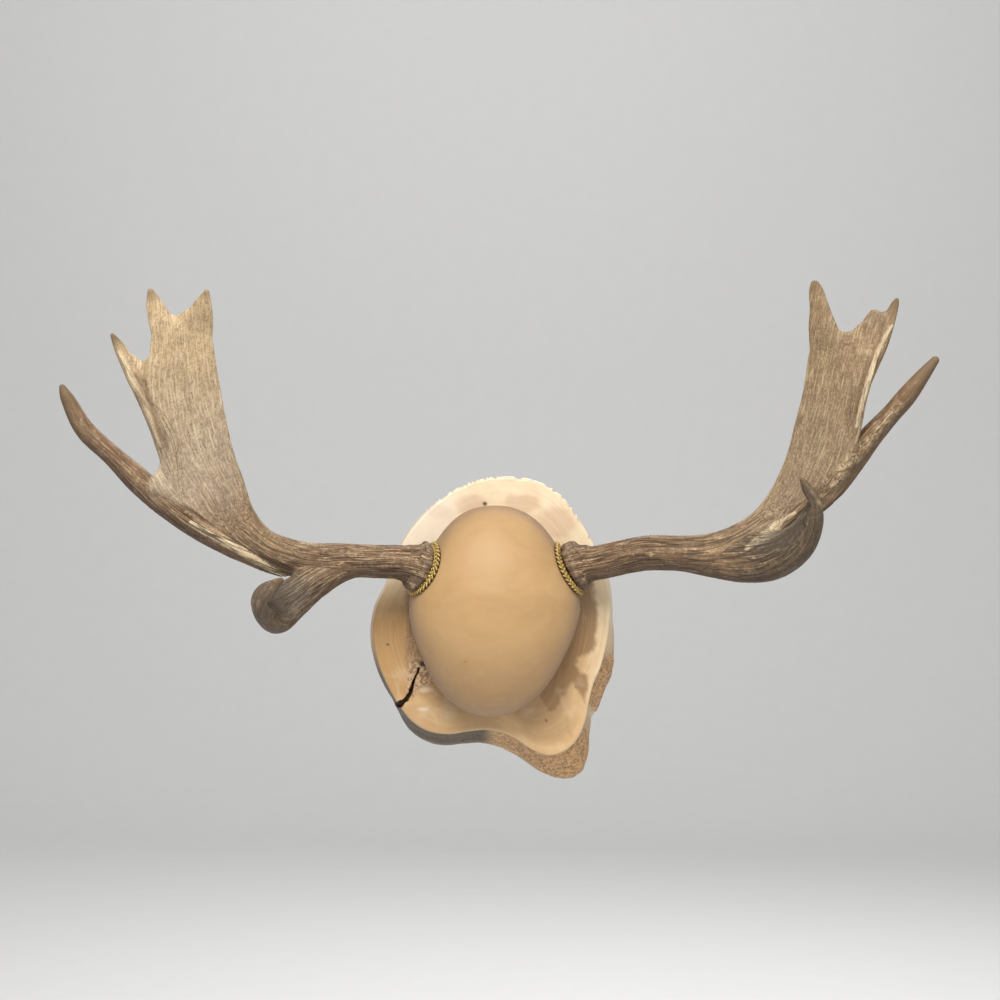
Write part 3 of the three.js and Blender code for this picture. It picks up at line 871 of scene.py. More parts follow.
@dataclass(frozen=True)
class SkullForm:
    """The egg-shaped dome that stands in for the skull, under leather."""

    centre: tuple[float, float, float] = (0.0, -57.0, 27.0)
    half_width: float = 96.0
    bulge: float = 75.0
    undercut: float = 60.0
    top: tuple[float, float, float] = (110.0, 0.75, 0.0)  # reach, taper, lean
    foot: tuple[float, float, float] = (126.0, 0.45, -5.0)
    back: float = -35.3  # where the form meets the slice
    mark: tuple[float, float] = (-32.0, -33.0)  # a scuff, at x and z

    def section(self, height: Array) -> tuple[Array, Array, Array]:
        """The form's reach, half width and sideways shift at a height above its centre.

        With t the share of the reach, the width is half_width * (1 - taper * t^2 * (1 - t)) and the shift
        is lean * t.
        """
        reach, taper, lean = (np.where(height > 0, a, b) for a, b in zip(self.top, self.foot))
        share = np.minimum(1, np.abs(height) / reach)
        return reach, self.half_width * (1 - taper * share**2 * (1 - share)), lean * share

    def onto(self, points: Array, axis: Array) -> Array:
        """Slides points along an axis until they lie on the form, halving the interval until it is small."""
        search, halvings = 60.0, 20
        inside, outside = np.full(len(points), -search), np.full(len(points), search)
        for _ in range(halvings):
            middle = (inside + outside) / 2
            away = points + axis * middle[:, None] - np.array(self.centre)
            reach, width, shift = self.section(away[:, 2])
            depth = np.where(away[:, 1] < 0, self.bulge, self.undercut)
            far = np.sqrt(((away[:, 0] - shift) / width) ** 2 + (away[:, 1] / depth) ** 2
                          + (away[:, 2] / reach) ** 2) > 1
            outside, inside = np.where(far, middle, outside), np.where(far, inside, middle)
        return points + axis * outside[:, None]

    def build(self, leather: bpy.types.Material) -> None:
        """Makes the form's surface, closed flat where it meets the slice, and dresses it.

        Over a direction on the unit sphere, given by the turn u round the viewing axis and the tilt v away
        from it, a point is the centre + (shift + x * width, y * bulge or undercut, z * reach), with a
        little sag added.
        """
        turns, tilts, closing_rings = 220, 96, 6
        rim = math.acos(-(self.back - self.centre[1]) / self.undercut)
        v = np.concatenate([np.linspace(0.004, rim, tilts), np.full(closing_rings, rim)])[:, None]
        u = np.linspace(0, 2 * math.pi, turns, endpoint=False)[None, :]
        x, y, z = np.sin(v) * np.cos(u), -np.cos(v) + 0 * u, np.sin(v) * np.sin(u)
        reach = np.where(z > 0, self.top[0], self.foot[0])
        _, width, shift = self.section(z * reach)
        depth = np.where(y < 0, self.bulge, self.undercut)
        closing = np.concatenate([np.ones(tilts), np.linspace(0.85, 0.02, closing_rings)])[:, None]
        points = np.stack([shift + x * width, y * depth, z * reach], axis=-1)
        points[..., 0] *= closing
        points[..., 2] *= closing
        points = points.reshape(-1, 3)
        sag = Noise(5)
        soft = 0.9 * sag.at(points / 55) + 0.35 * sag.at(points / 17 + 9)
        soft = soft * np.repeat(closing[:, 0] == 1, turns)
        points = points + unit(points) * soft[:, None] + np.array(self.centre)
        points[:, 1] = np.minimum(points[:, 1], self.back)
        faces = [grid_faces(len(v), turns), np.arange(turns)[None, ::-1],
                 np.arange(turns)[None, :] + (len(v) - 1) * turns]
        surface = Surface(points, faces).outward()
        form = surface.piece("leather_form", leather)
        normals = surface.normals()
        scuff = np.hypot((points[:, 0] - self.mark[0]) / 2.6, (points[:, 2] - self.mark[1]) / 1.1)
        attribute(form, "painted_shade_and_scuff", [
            # Painted shade towards the edges seen from the front, painted shade towards the bottom, and a
            # scuff.
            smooth(0.72, 0.1, -normals[:, 1]),
            smooth(10.0, -95.0, points[:, 2]),
            0.7 * smooth(1.2, 0.4, scuff) * (normals[:, 1] < 0),
        ])
        onto_slot(form, Slot.LEATHER, "skull_form")


# ---------------------------------------------------------------- the antlers


SPINE_SAMPLES = 240  # how finely a limb's middle line is cut


@dataclass(frozen=True)
class Spine:
    """A limb's middle line with its sizes and a frame that is carried along it without twisting."""

    centres: Array
    along: Array
    wide: Array
    thin: Array
    widths: Array
    depths: Array
    distance: Array  # from the root, along the line

    @classmethod
    def through(cls, rows: Rows, blade: Spine | None = None) -> Spine:
        """Fits a spine to control rows of x, y, z, half width and half thickness.

        The thin direction starts towards the viewer, and at each sample its part along the line is taken
        away.

        Args:
            rows: the control rows.
            blade: the spine of a flat limb that this one grows out of, if it does. Its line is then moved
                into the blade's middle surface, and its thin direction starts as the blade's.

        Returns:
            The spine.
        """
        table = np.array(rows, dtype=float)
        current = np.array([0.0, -1.0, 0.0])
        if blade is not None:
            local = blade.locate(table[:, :3])
            level = blade.thin[local.nearest] * (local.through * blade.depths[local.nearest])[:, None]
            table[:, :3] -= level * np.minimum(1, (2.2 - np.minimum(local.reach, 2.2)))[:, None]
            current = blade.thin[local.nearest[0]]
        shares = np.linspace(0, 1, SPINE_SAMPLES)
        values = curve(table, shares)
        step = 1e-4
        along = unit(curve(table, shares + step)[:, :3] - curve(table, shares - step)[:, :3])
        thin = np.zeros_like(along)
        for k, direction in enumerate(along):
            current = current - direction * np.dot(current, direction)
            current = current / np.linalg.norm(current)
            thin[k] = current
        length = np.concatenate([[0.0], np.cumsum(np.linalg.norm(np.diff(values[:, :3], axis=0), axis=1))])
        return cls(values[:, :3], along, np.cross(along, thin), thin, values[:, 3], values[:, 4], length)

    def curling(self) -> Array:
        """How far a flat blade bends back at its edges: CUP * (width / thickness - 1) * width."""
        return CUP * np.maximum(0, self.widths / self.depths - 1) * self.widths

    def solid(self, sides: int = 60) -> Surface:
        """The limb as a closed surface with rounded ends.

        Past each end the oval shrinks as the square root of 1 - t^2 while it moves out by t times its
        thickness.
        """
        t = np.array([0.3, 0.55, 0.75, 0.9, 0.97, 0.998])
        ends = []
        for index, sign in ((0, -1.0), (-1, 1.0)):
            shift = sign * t[:, None] * self.depths[index] * self.along[index]
            shrink = np.sqrt(1 - t * t)
            repeat = np.ones((len(t), 1))
            ends.append((
                self.centres[index] + shift, self.widths[index] * shrink, self.depths[index] * shrink,
                repeat * self.wide[index], repeat * self.thin[index],
            ))
        middle = (self.centres, self.widths, self.depths, self.wide, self.thin)
        centres, widths, depths, wide, thin = (
            np.concatenate([root[::-1], line, tip]) for root, line, tip in zip(ends[0], middle, ends[1])
        )
        flatness = np.maximum(0, widths / depths - 1)
        fullness = 2 / (2 + np.minimum(1.2, 0.35 * flatness))
        curl = CUP * flatness * widths
        return swept(centres, wide, thin, widths, depths, sides, fullness, curl)

    def locate(self, points: Array) -> Local:
        """Finds where points lie beside the spine.

        Args:
            points: places in millimetres.

        Returns:
            Their places in the limb's own terms.
        """
        at_once = 20000  # points in memory together
        squares = np.sum(self.centres**2, axis=1)
        nearest = np.concatenate([
            np.argmin(squares[None, :] - 2 * part @ self.centres.T, axis=1)
            for part in np.array_split(points, max(1, len(points) // at_once))
        ])
        offset = np.sum((points - self.centres[nearest]) * self.along[nearest], axis=1)
        away = points - self.centres[nearest] - self.along[nearest] * offset[:, None]
        width, depth = self.widths[nearest], self.depths[nearest]
        across = np.sum(away * self.wide[nearest], axis=1) / width
        through = (np.sum(away * self.thin[nearest], axis=1) - self.curling()[nearest] * across**2) / depth
        distance = self.distance[nearest] + offset
        beyond = np.maximum(0, np.maximum(-distance, distance - self.distance[-1]))
        reach = np.sqrt(across**2 + through**2 + (beyond / depth) ** 2)
        return Local(across, through, distance, np.clip(distance / self.distance[-1], 0, 1), reach, nearest)


@dataclass(frozen=True)
class Local:
    """Places beside a spine: shares of the width and thickness, millimetres along, and how far out in all."""

    across: Array
    through: Array
    distance: Array
    share: Array
    reach: Array
    nearest: Array


@dataclass(frozen=True)
class Relief:
    """What grew on a surface: its height in millimetres and how much of each mark it shows."""

    height: Array
    groove: Array
    ridge: Array
    pearl: Array


@dataclass(frozen=True)
class Bark:
    """How deeply a kind of limb is furrowed along its length, as [share of the length, amount] pairs."""

    furrow: tuple[tuple[float, float], ...]
    spacing: float  # millimetres from furrow to furrow
    pearls: float  # how thickly the ridges are beaded

    def depth(self, share: Array) -> Array:
        """The amount at each share of the length, in a straight line from pair to pair."""
        places, amounts = zip(*self.furrow)
        return np.interp(share, places, amounts)


# Millimetres of smooth tip at the end of each limb.
TIP_REACH = {
    Growth.TRUNK: 18.0, Growth.BROW: 16.0, Growth.OUTER: 60.0, Growth.POINT: 18.0, Growth.RIM: 26.0,
}
BARK = {
    Growth.TRUNK: Bark(((0, 1.0), (0.3, 1.0), (0.47, 0.75), (0.58, 0.35), (0.7, 0.14), (1, 0.1)), 5.5, 0.9),
    Growth.BROW: Bark(((0, 0.8), (0.4, 0.75), (0.7, 0.45), (1, 0.1)), 5.5, 0.35),
    Growth.OUTER: Bark(((0, 1.2), (0.35, 1.1), (0.6, 0.7), (0.85, 0.22), (1, 0.05)), 6.0, 0.6),
    Growth.POINT: Bark(((0, 0.12), (0.5, 0.12), (1, 0.05)), 6.0, 0.0),
    Growth.WEB: Bark(((0, 0.05), (1, 0.05)), 6.0, 0.0),
    Growth.RIM: Bark(((0, 0.3), (0.3, 0.7), (0.6, 0.8), (0.8, 0.35), (1, 0.05)), 5.0, 0.3),
}


@dataclass(frozen=True)
class Limb:
    """One limb of an antler."""

    growth: Growth
    rows: Rows
    breadth: float = 20.0  # half width that its surface pattern is drawn for

    def relief(self, local: Local, noise: Noise) -> Relief:
        """Grows furrows, ridges and pearls on the limb.

        The pattern is noise in a space that is stretched along the limb, so its level lines run lengthwise
        and wander. A furrow lies along the noise's zero line, with exp(-(n/w)^2) as its section.

        Args:
            local: places on the limb.
            noise: the noise to draw from.

        Returns:
            The relief at those places.
        """
        bark = BARK[self.growth]
        depth = bark.depth(local.share)
        through = local.through * self.breadth * BLADE_PATTERN
        place = np.column_stack([local.across * self.breadth, through, local.distance])
        wander = noise.at(place / (14, 14, 30) + 3.1)[:, None] * (1.5, 1.5, 0)
        place = place + wander
        grain = place / (1, 1, 13)
        broad = noise.at(grain / bark.spacing)
        narrow = noise.at(grain / (bark.spacing * 0.55) + 40)
        groove = np.exp(-(broad / 0.12) ** 2) * smooth(-0.35, 0.25, noise.at(place / (9, 9, 45) + 300))
        line = np.exp(-(narrow / 0.15) ** 2)
        ridge = smooth(0.1, 0.6, noise.at(grain / (bark.spacing * 0.6) + 80))
        beads = noise.at(place / (2.6, 2.6, 3.6) + 120)
        row = smooth(0.25, 0.6, np.abs(broad))
        pearl = smooth(0.12, 0.42, beads) * row * bark.pearls * smooth(0.3, 0.8, depth)
        body = 0.5 * noise.at(place / (11, 11, 40) + 160)
        height = depth * (0.5 * ridge - 1.1 * groove - 0.5 * line + 0.45 * pearl + 0.4 * body)
        shown = np.clip(depth, 0, 1)
        return Relief(height, np.maximum(groove, 0.6 * line) * shown**0.8, ridge * shown, pearl)


@dataclass(frozen=True)
class Antler:
    """One antler with its braid: a trunk that opens into a palm, two tines and the palm's points."""

    side: str
    base: tuple[float, float, float]
    trunk: Limb
    brow: Limb
    outer: Limb
    points: tuple[Limb, ...]
    fork: float
    lit_rims: tuple[Rows, ...]  # painted highlights along raised rim strips on the viewer's side, as x, z and half width
    shaded_hollows: tuple[Rows, ...]  # hollow lines beside them, dented and painted with shade, in the same way
    networks: tuple[Rows, ...]  # cream strips under a network of dark vessels
    seed: int
    hook: int = 138  # the sample of the brow tine's spine from which it bends one way
    burr_radius: float = 23.0
    burr_size: float = 5.6
    burr_offset: float = 12.0
    knob_height: float = 2.2
    flare: Rows = ((5, 22), (8.5, 26.5), (12, 26.5), (16, 24), (20, 21.5), (25, 19.5), (31, 18.2))
    braid_radius: float = 28.2
    braid_sway: float = 3.3  # how far a cord swings to each side
    cords: int = 3
    cord_radius: float = 1.6
    cord_waves: int = 12  # swings of a cord in one turn round the foot
    cord_lay: float = 200.0  # twists of a cord's wrapping in one turn round the foot
    tape_half_width: float = 2.9
    tape_half_thickness: float = 1.3
    voxel: float = 1.35

    def frame(self) -> tuple[Array, Array, Array, Array]:
        """The middle of the antler's foot, the way it leaves the form, and two directions across it."""
        base = np.array(self.base)
        axis = unit(base - np.array(self.trunk.rows[0][:3], dtype=float))
        up = unit(np.array([0.0, 0.0, 1.0]) - axis * axis[2])
        return base, axis, up, np.cross(up, axis)

    def ring(self, angle: Array, radius: Array) -> Array:
        """Points round the foot at an angle from the top and a radius."""
        base, _, up, front = self.frame()
        return base + up * (np.cos(angle) * radius)[..., None] + front * (np.sin(angle) * radius)[..., None]

    def burr(self) -> list[Surface]:
        """The bony ring at the foot, a torus that swells into uneven knobs, and the flare behind it."""
        _, axis, up, front = self.frame()
        steps, flare_rings = 260, 40
        angle = np.linspace(0, 2 * math.pi, steps, endpoint=False)
        out = up * np.cos(angle)[:, None] + front * np.sin(angle)[:, None]
        noise = Noise(self.seed + 1)
        swell = noise.at(out * 2.6 + 5) + 0.8 * noise.at(out * 5.2 + 9)
        size = self.burr_size + self.knob_height * swell
        centres = self.ring(angle, np.full(steps, self.burr_radius))
        centres = centres + axis * (self.burr_offset + 1.5 * np.sin(2 * angle))[:, None]
        torus = swept(centres, out, np.broadcast_to(axis, out.shape), size, size, 32, closed=True)
        profile = curve(np.array(self.flare, dtype=float), np.linspace(0, 1, flare_rings))
        base, rings = np.array(self.base), np.ones((flare_rings, 1))
        radii = profile[:, 1]
        cone = swept(base + axis * profile[:, :1], up * rings, front * rings, radii, radii, 90)
        return [torus, cone]

    def spines(self) -> list[Spine]:
        """The spines of the trunk, the brow tine, the outer tine and the palm's points, in that order."""
        trunk = Spine.through(self.trunk.rows)
        return [trunk, Spine.through(self.brow.rows), Spine.through(self.outer.rows),
                *(Spine.through(limb.rows, trunk) for limb in self.points)]

    def fused(self) -> Surface:
        """Joins all limbs and the burr into one skin on a voxel grid; build rounds its forks afterwards."""
        rough = together([spine.solid() for spine in self.spines()] + self.burr())
        step = rough.piece("limbs", bpy.data.materials.new("step"))
        remesh = step.modifiers.new("skin", "REMESH")
        remesh.mode, remesh.voxel_size = "VOXEL", self.voxel * MM
        skin = surface_of(step)
        removed(step)
        return skin

    def along_lines(self, lines: Sequence[Rows], points: Array, noise: Noise,
                    border: tuple[float, float] = (1.2, 0.55)) -> Array:
        """How near places are to curved lines that are given as x, z and half width.

        Args:
            lines: the lines.
            points: the places.
            noise: the noise that makes the lines' borders uneven.
            border: the half widths at which the share is 0 and 1.

        Returns:
            1 on a line and 0 beside it.
        """
        share = np.zeros(len(points))
        wander = 0.25 * noise.at(points / 5) + 0.15 * noise.at(points / 2.2 + 60)
        for rows in lines:
            line = curve(np.array(rows, dtype=float), np.linspace(0, 1, 60))
            away = np.hypot(points[:, None, 0] - line[None, :, 0], points[:, None, 2] - line[None, :, 1])
            share = np.maximum(share, smooth(*border, np.min(away / line[None, :, 2], axis=1) + wander))
        return share

    def build(self, bone: bpy.types.Material) -> None:
        """Makes the antler's skin, grows its relief and stores what the bone's finish reads.

        Args:
            bone: the antler's finish.
        """
        noise = Noise(self.seed)
        skin = self.fused()
        limbs = [self.trunk, self.brow, self.outer, *self.points]
        spines = self.spines()
        locals_ = [spine.locate(skin.points) for spine in spines]
        reach = np.array([local.reach for local in locals_])
        order = np.sort(reach, axis=0)
        base, axis, _, _ = self.frame()
        along_foot = (skin.points - base) @ axis
        crease = smooth(1.4, 0.1, order[1] - order[0])
        crease = np.maximum(crease, smooth(40.0, 30.0, along_foot) * smooth(10.0, 16.0, along_foot))
        skin.relaxed(140, 0.85 * crease, only_fill=True)
        blade_axis = spines[0].thin[locals_[0].nearest]
        nearest = np.argmin(reach, axis=0)
        level = np.array([
            np.abs(local.through) * own.depths[local.nearest] for local, own in zip(locals_, spines)
        ])
        off_middle = smooth(1.2, 3.2, level[nearest, np.arange(len(nearest))])
        flat = smooth(self.fork, self.fork + 0.12, locals_[0].share)
        flat = flat * smooth(0.9, 1.4, np.min(reach[[1, 2]], axis=0))
        flat = flat * (1 - 0.75 * smooth(1.3, 0.9, reach[3]))
        skin.relaxed(110, 0.7 * off_middle * flat, along=blade_axis)
        trio = np.sort(reach[:3], axis=0)
        forked = smooth(0.9, 0.2, trio[1] - trio[0]) * smooth(2.0, 1.5, trio[0])
        skin.relaxed(5, 0.2 + 0.4 * crease)
        skin.relaxed(30, 0.6 * forked)
        normals = skin.normals()
        along_foot = (skin.points - base) @ axis
        burr = smooth(20.0, 14.0, along_foot) * smooth(-12.0, 0.0, along_foot)

        weight = np.maximum(0, 1 - (reach - order[0]) / 0.3) ** 2
        weight = weight / weight.sum(axis=0)
        grown = [limb.relief(local, noise) for limb, local in zip(limbs, locals_)]
        height, groove, ridge, pearl = (
            sum(w * getattr(part, name) for w, part in zip(weight, grown))
            for name in ("height", "groove", "ridge", "pearl")
        )
        knobs = noise.at(skin.points / 4.0 + 7)
        lumps = noise.at(skin.points / 7.0 + 21)
        height = height * (1 - burr) + burr * (0.8 * knobs + 1.3 * lumps)
        groove = groove * (1 - burr) + 0.6 * burr * smooth(0.0, -0.4, knobs)
        ridge = ridge * (1 - burr) + 0.5 * burr * smooth(0.25, 0.6, knobs)

        brow = locals_[1]
        bend = unit(np.gradient(spines[1].along, axis=0))[np.maximum(brow.nearest, self.hook)]
        # The brow tine's cup: dented into the surface, and given painted shade by the bone's finish.
        hollow = smooth(0.15, 0.7, np.sum(normals * bend, axis=1)) * weight[1] * smooth(0.3, 0.55, brow.share)
        hollow = hollow * smooth(1.0, 0.85, brow.share)
        height = height - 4.0 * hollow * smooth(0.35, 1.0, hollow)
        facing = smooth(0.1, -0.3, normals[:, 1])
        # Painted highlight along the raised rim strips on the viewer's side; the strips also lift the
        # surface.
        pale = self.along_lines(self.lit_rims, skin.points, noise) * smooth(0.6, 0.1, normals[:, 1])
        # Painted shade along the hollow lines beside the rim strips, which are also dented.
        shaded_hollow_line = self.along_lines(self.shaded_hollows, skin.points, noise, (1.8, 0.1)) * facing
        network = self.along_lines(self.networks, skin.points, noise, (1.4, 0.3)) * facing
        height = height + 0.4 * pale - 0.6 * shaded_hollow_line
        skin.points = skin.points + normals * height[:, None]
        skin.relaxed(2, 0.4 * forked)

        tips = np.zeros(len(skin.points))
        for limb, local, own in zip(limbs[1:], locals_[1:], spines[1:]):
            if limb.growth in TIP_REACH:
                strength = 0.6 if limb.growth is Growth.POINT else 1.0
                tip = strength * smooth(TIP_REACH[limb.growth], 2.0, own.distance[-1] - local.distance)
                tips = np.maximum(tips, tip * smooth(1.9, 1.3, local.reach))
        trunk = locals_[0]
        blade = weight[0] + weight[3:].sum(axis=0)
        palm = smooth(self.fork - 0.05, self.fork + 0.2, trunk.share) * blade
        top = smooth(0.72, 1.0, trunk.share) * palm
        # Painted highlight on the palm's edges where they face up.
        lit_palm_edge = smooth(0.9, 1.02, np.abs(trunk.across)) * palm * weight[0] * 0.4
        olive = smooth(0.25, 0.42, trunk.share) * smooth(self.fork + 0.12, self.fork, trunk.share)
        olive = olive * blade * smooth(-0.2, 0.5, normals[:, 2] - 0.4 * normals[:, 1])
        # under: partly the bone's own darker tone and partly painted shade where the bone faces down, off the
        # palm and the rim strips.
        under = smooth(-0.25, -0.85, normals[:, 2] + 0.3 * normals[:, 1]) * (1 - palm) * (1 - pale)
        # rim: painted highlight from the strips and the upward palm edges, less in the grooves.
        rim = np.clip(pale + lit_palm_edge * smooth(0.0, 0.6, normals[:, 2] + 0.3), 0, 1) * (1 - 0.8 * groove)

        piece = skin.piece(f"{self.side}_antler", bone)
        breadth = np.array([limb.breadth for limb in limbs])
        side = np.argmax(weight, axis=0)
        on_blade = np.array([limb.growth in (Growth.POINT, Growth.WEB) for limb in limbs])
        side = np.where(on_blade[side], 0, side)
        stacked = []
        for local, own, wide in zip(locals_, spines, breadth):
            roundness = smooth(2.4, 1.5, own.widths / own.depths)[local.nearest]
            through = np.clip(local.through, -1, 1) * wide * BLADE_PATTERN * roundness
            stacked.append(np.column_stack([local.across * wide, through, local.distance]))
        grain = np.array(stacked)[side, np.arange(len(side))] * MM
        attribute(piece, "grain", list(grain.T))
        attribute(piece, "relief", [groove, ridge, pearl])
        attribute(piece, "zones", [palm, tips * (1 - 0.5 * groove), hollow])
        attribute(piece, "edges", [rim, burr, under])
        furrow = sum(
            w * BARK[limb.growth].depth(local.share) for w, limb, local in zip(weight, limbs, locals_)
        )
        bare = weight[2] * smooth(0.2, 0.75, normals[:, 2]) * smooth(0.1, 0.25, locals_[2].share)
        # The third number of growth is painted shade in the hollow lines.
        attribute(piece, "growth", [
            np.clip(furrow, 0, 1) * (1 - 0.4 * burr) * (1 - 0.8 * bare), network, 0.6 * shaded_hollow_line])
        attribute(piece, "hues", [weight[1] * smooth(0.1, 0.4, brow.share), top, olive])
        nodes = [f"{self.side}_{part}" for part in ("beam", "brow_tine", "palm", "outer_tine")]
        onto_slot(piece, Slot.ANTLER, *nodes)

    def braid(self, form: SkullForm, gold: bpy.types.Material, tape: bpy.types.Material) -> None:
        """Lays the braid round the antler's foot: a black tape and three gold cords plaited over it.

        Cord k of 3 runs at across = sway * sin(t + 2 pi k / 3) and lift = 2.5 + sin(2 (t + 2 pi k / 3)),
        where t grows by 12 turns round the foot, so that each cord goes over one and under the next.

        Args:
            form: the form that it lies on.
            gold: the cords' finish.
            tape: the tape's finish.
        """
        _, axis, _, _ = self.frame()
        count, sides, lift_middle = 840, 10, 2.5
        angle = np.linspace(0, 2 * math.pi, count, endpoint=False)
        surfaces, along, around, shade = [], [], [], []
        for cord in range(self.cords):
            wave = self.cord_waves * angle + 2 * math.pi * cord / self.cords
            lift = lift_middle + np.sin(2 * wave)
            middle = form.onto(self.ring(angle, self.braid_radius + self.braid_sway * np.sin(wave)), axis)
            middle = middle + axis * lift[:, None]
            heading = unit(np.roll(middle, -1, axis=0) - np.roll(middle, 1, axis=0))
            rise = unit(axis - heading * (heading @ axis)[:, None])
            size = np.full(count, self.cord_radius)
            across = np.cross(heading, rise)
            surfaces.append(swept(middle, across, rise, size, 0.72 * size, sides, closed=True))
            along.append(np.repeat(angle / (2 * math.pi) * self.cord_lay, sides))
            around.append(np.tile(np.arange(sides) / sides, count))
            shade.append(np.repeat(0.9 * smooth(2.9, 1.7, lift), sides))
        braid = together(surfaces).piece(f"{self.side}_braid", gold)
        attribute(braid, "lay", [np.concatenate(part) for part in (along, around, shade)])
        onto_slot(braid, Slot.BRAID, f"{self.side}_trim")
        low, middle, high = (
            form.onto(self.ring(angle, np.full(count, self.braid_radius + step)), axis) for step in (-4, 0, 4)
        )
        middle, wide = middle + axis * 0.4, unit(high - low)
        thin = unit(axis - wide * (wide @ axis)[:, None])
        size = np.full(count, self.tape_half_width)
        thickness = np.full(count, self.tape_half_thickness)
        under = swept(middle, wide, thin, size, thickness, 14, 0.7, closed=True)
        onto_slot(under.piece(f"{self.side}_tape", tape), Slot.BRAID)


LEFT = Antler(
    side="left",
    base=(-75, -76, 65),
    fork=0.5,
    seed=11,
    trunk=Limb(Growth.TRUNK, (
        (-56, -68, 56, 18, 18), (-75, -76, 65, 19, 18), (-86, -81, 70, 19, 18.5),
        (-104, -88, 74, 19, 18.5), (-132, -96, 75.5, 18.5, 18.5), (-165, -104, 77, 18.5, 18.5),
        (-194, -111, 76.5, 19, 18.5), (-224, -118, 81, 19.5, 18), (-255, -127, 96, 18.5, 16),
        (-281.5, -137, 121.5, 24, 13), (-300, -149, 156, 31, 11), (-316.5, -163, 191, 36.5, 9),
        (-325.5, -178, 228, 38.5, 8), (-330.5, -192, 265, 38.5, 7.5), (-329.5, -206, 301, 34, 7),
        (-329.5, -212, 318, 31.5, 6.5),
    ), 22),
    brow=Limb(Growth.BROW, (
        (-146, -98, 73, 13, 13), (-171, -107, 66, 15, 14.5), (-195, -121, 54, 18, 16),
        (-219, -142, 37, 22, 17), (-237, -168, 25, 26, 16), (-244, -196, 32, 19, 13),
        (-239, -214, 46, 12, 9), (-222, -228, 60, 3, 3),
    ), 22),
    outer=Limb(Growth.OUTER, (
        (-230, -120, 69.5, 12, 9), (-253, -127, 78.5, 12.5, 10), (-281, -135, 91, 12.5, 11.5),
        (-306, -142, 104.5, 12.5, 12.5), (-331, -151, 121, 13, 13), (-356, -160, 140.5, 13, 13),
        (-380, -168, 163.5, 14, 13), (-406, -177, 189.5, 11, 12), (-434.5, -187, 218, 10.5, 10),
        (-450.5, -196, 249.5, 7.5, 7), (-456, -200, 263, 3.5, 2.5),
    ), 14),
    points=(
        Limb(Growth.RIM, (
            (-339, -156, 150, 8, 7), (-349, -171, 197, 12, 9), (-357, -183, 224, 11.5, 10),
            (-368.5, -194, 250, 9.5, 9.5), (-380.5, -204, 276, 8.5, 8), (-392, -212, 301, 6.5, 6),
            (-400, -218, 316, 2.5, 2),
        ), 10),
        Limb(Growth.WEB, (
            (-338, -174, 208, 9, 3), (-343, -183, 235, 12, 5.5), (-355, -193, 262, 12, 6),
            (-360, -201, 286, 11, 4.5),
        ), 8),
        Limb(Growth.WEB, (
            (-290, -143, 118, 10, 6), (-312, -149, 138, 16, 7), (-337, -156, 158, 25, 7),
            (-345, -161, 167, 27.5, 6.5), (-345, -164, 176, 18.5, 6), (-345, -167, 189, 13.5, 6),
            (-346, -172, 205, 11.5, 5),
        ), 8),
        Limb(Growth.POINT, (
            (-336, -198, 272, 15, 3), (-342, -206, 299, 16.5, 6), (-347, -214, 321, 14, 6.5),
            (-353.5, -225, 344, 10, 5.5), (-358, -231, 361, 3.5, 2.5),
        ), 12),
        Limb(Growth.POINT, (
            (-325, -198, 272, 16, 3), (-318, -206, 299, 18, 6), (-311, -214, 321, 17, 6.5),
            (-305, -225, 344, 11, 5.5), (-299, -231, 360, 3, 2.5),
        ), 14),
        Limb(Growth.WEB, (
            (-350, -220, 337, 8, 5), (-342, -217, 329.5, 9.5, 5.5), (-332, -216, 326.5, 10, 5.5),
            (-321.5, -218, 330.5, 10, 5.5), (-314, -221, 338, 8.5, 5),
        ), 8),
        Limb(Growth.WEB, (
            (-385, -208, 290, 8.5, 5), (-378, -205, 282, 9.5, 5.5), (-370, -203, 279.5, 10.5, 5.5),
            (-361, -204, 284, 11, 5.5), (-354, -207, 295, 9.5, 5),
        ), 8),
    ),
    lit_rims=(
        (
            (-229, 61, 2.5), (-245, 70.5, 4.5), (-260, 80, 5.5), (-281, 93, 5.5), (-306, 107, 4.5),
            (-325, 119, 3),
        ),
        (
            (-355, 201, 2.6), (-361, 223, 2.8), (-370, 249, 3), (-380, 265, 3), (-386, 283, 2.5),
            (-393, 298, 2),
        ),
    ),
    shaded_hollows=(
        ((-350, 200, 4), (-353, 212, 5), (-360, 237, 5), (-368, 260, 4), (-376, 274, 2.5)),
    ),
    networks=(),
)

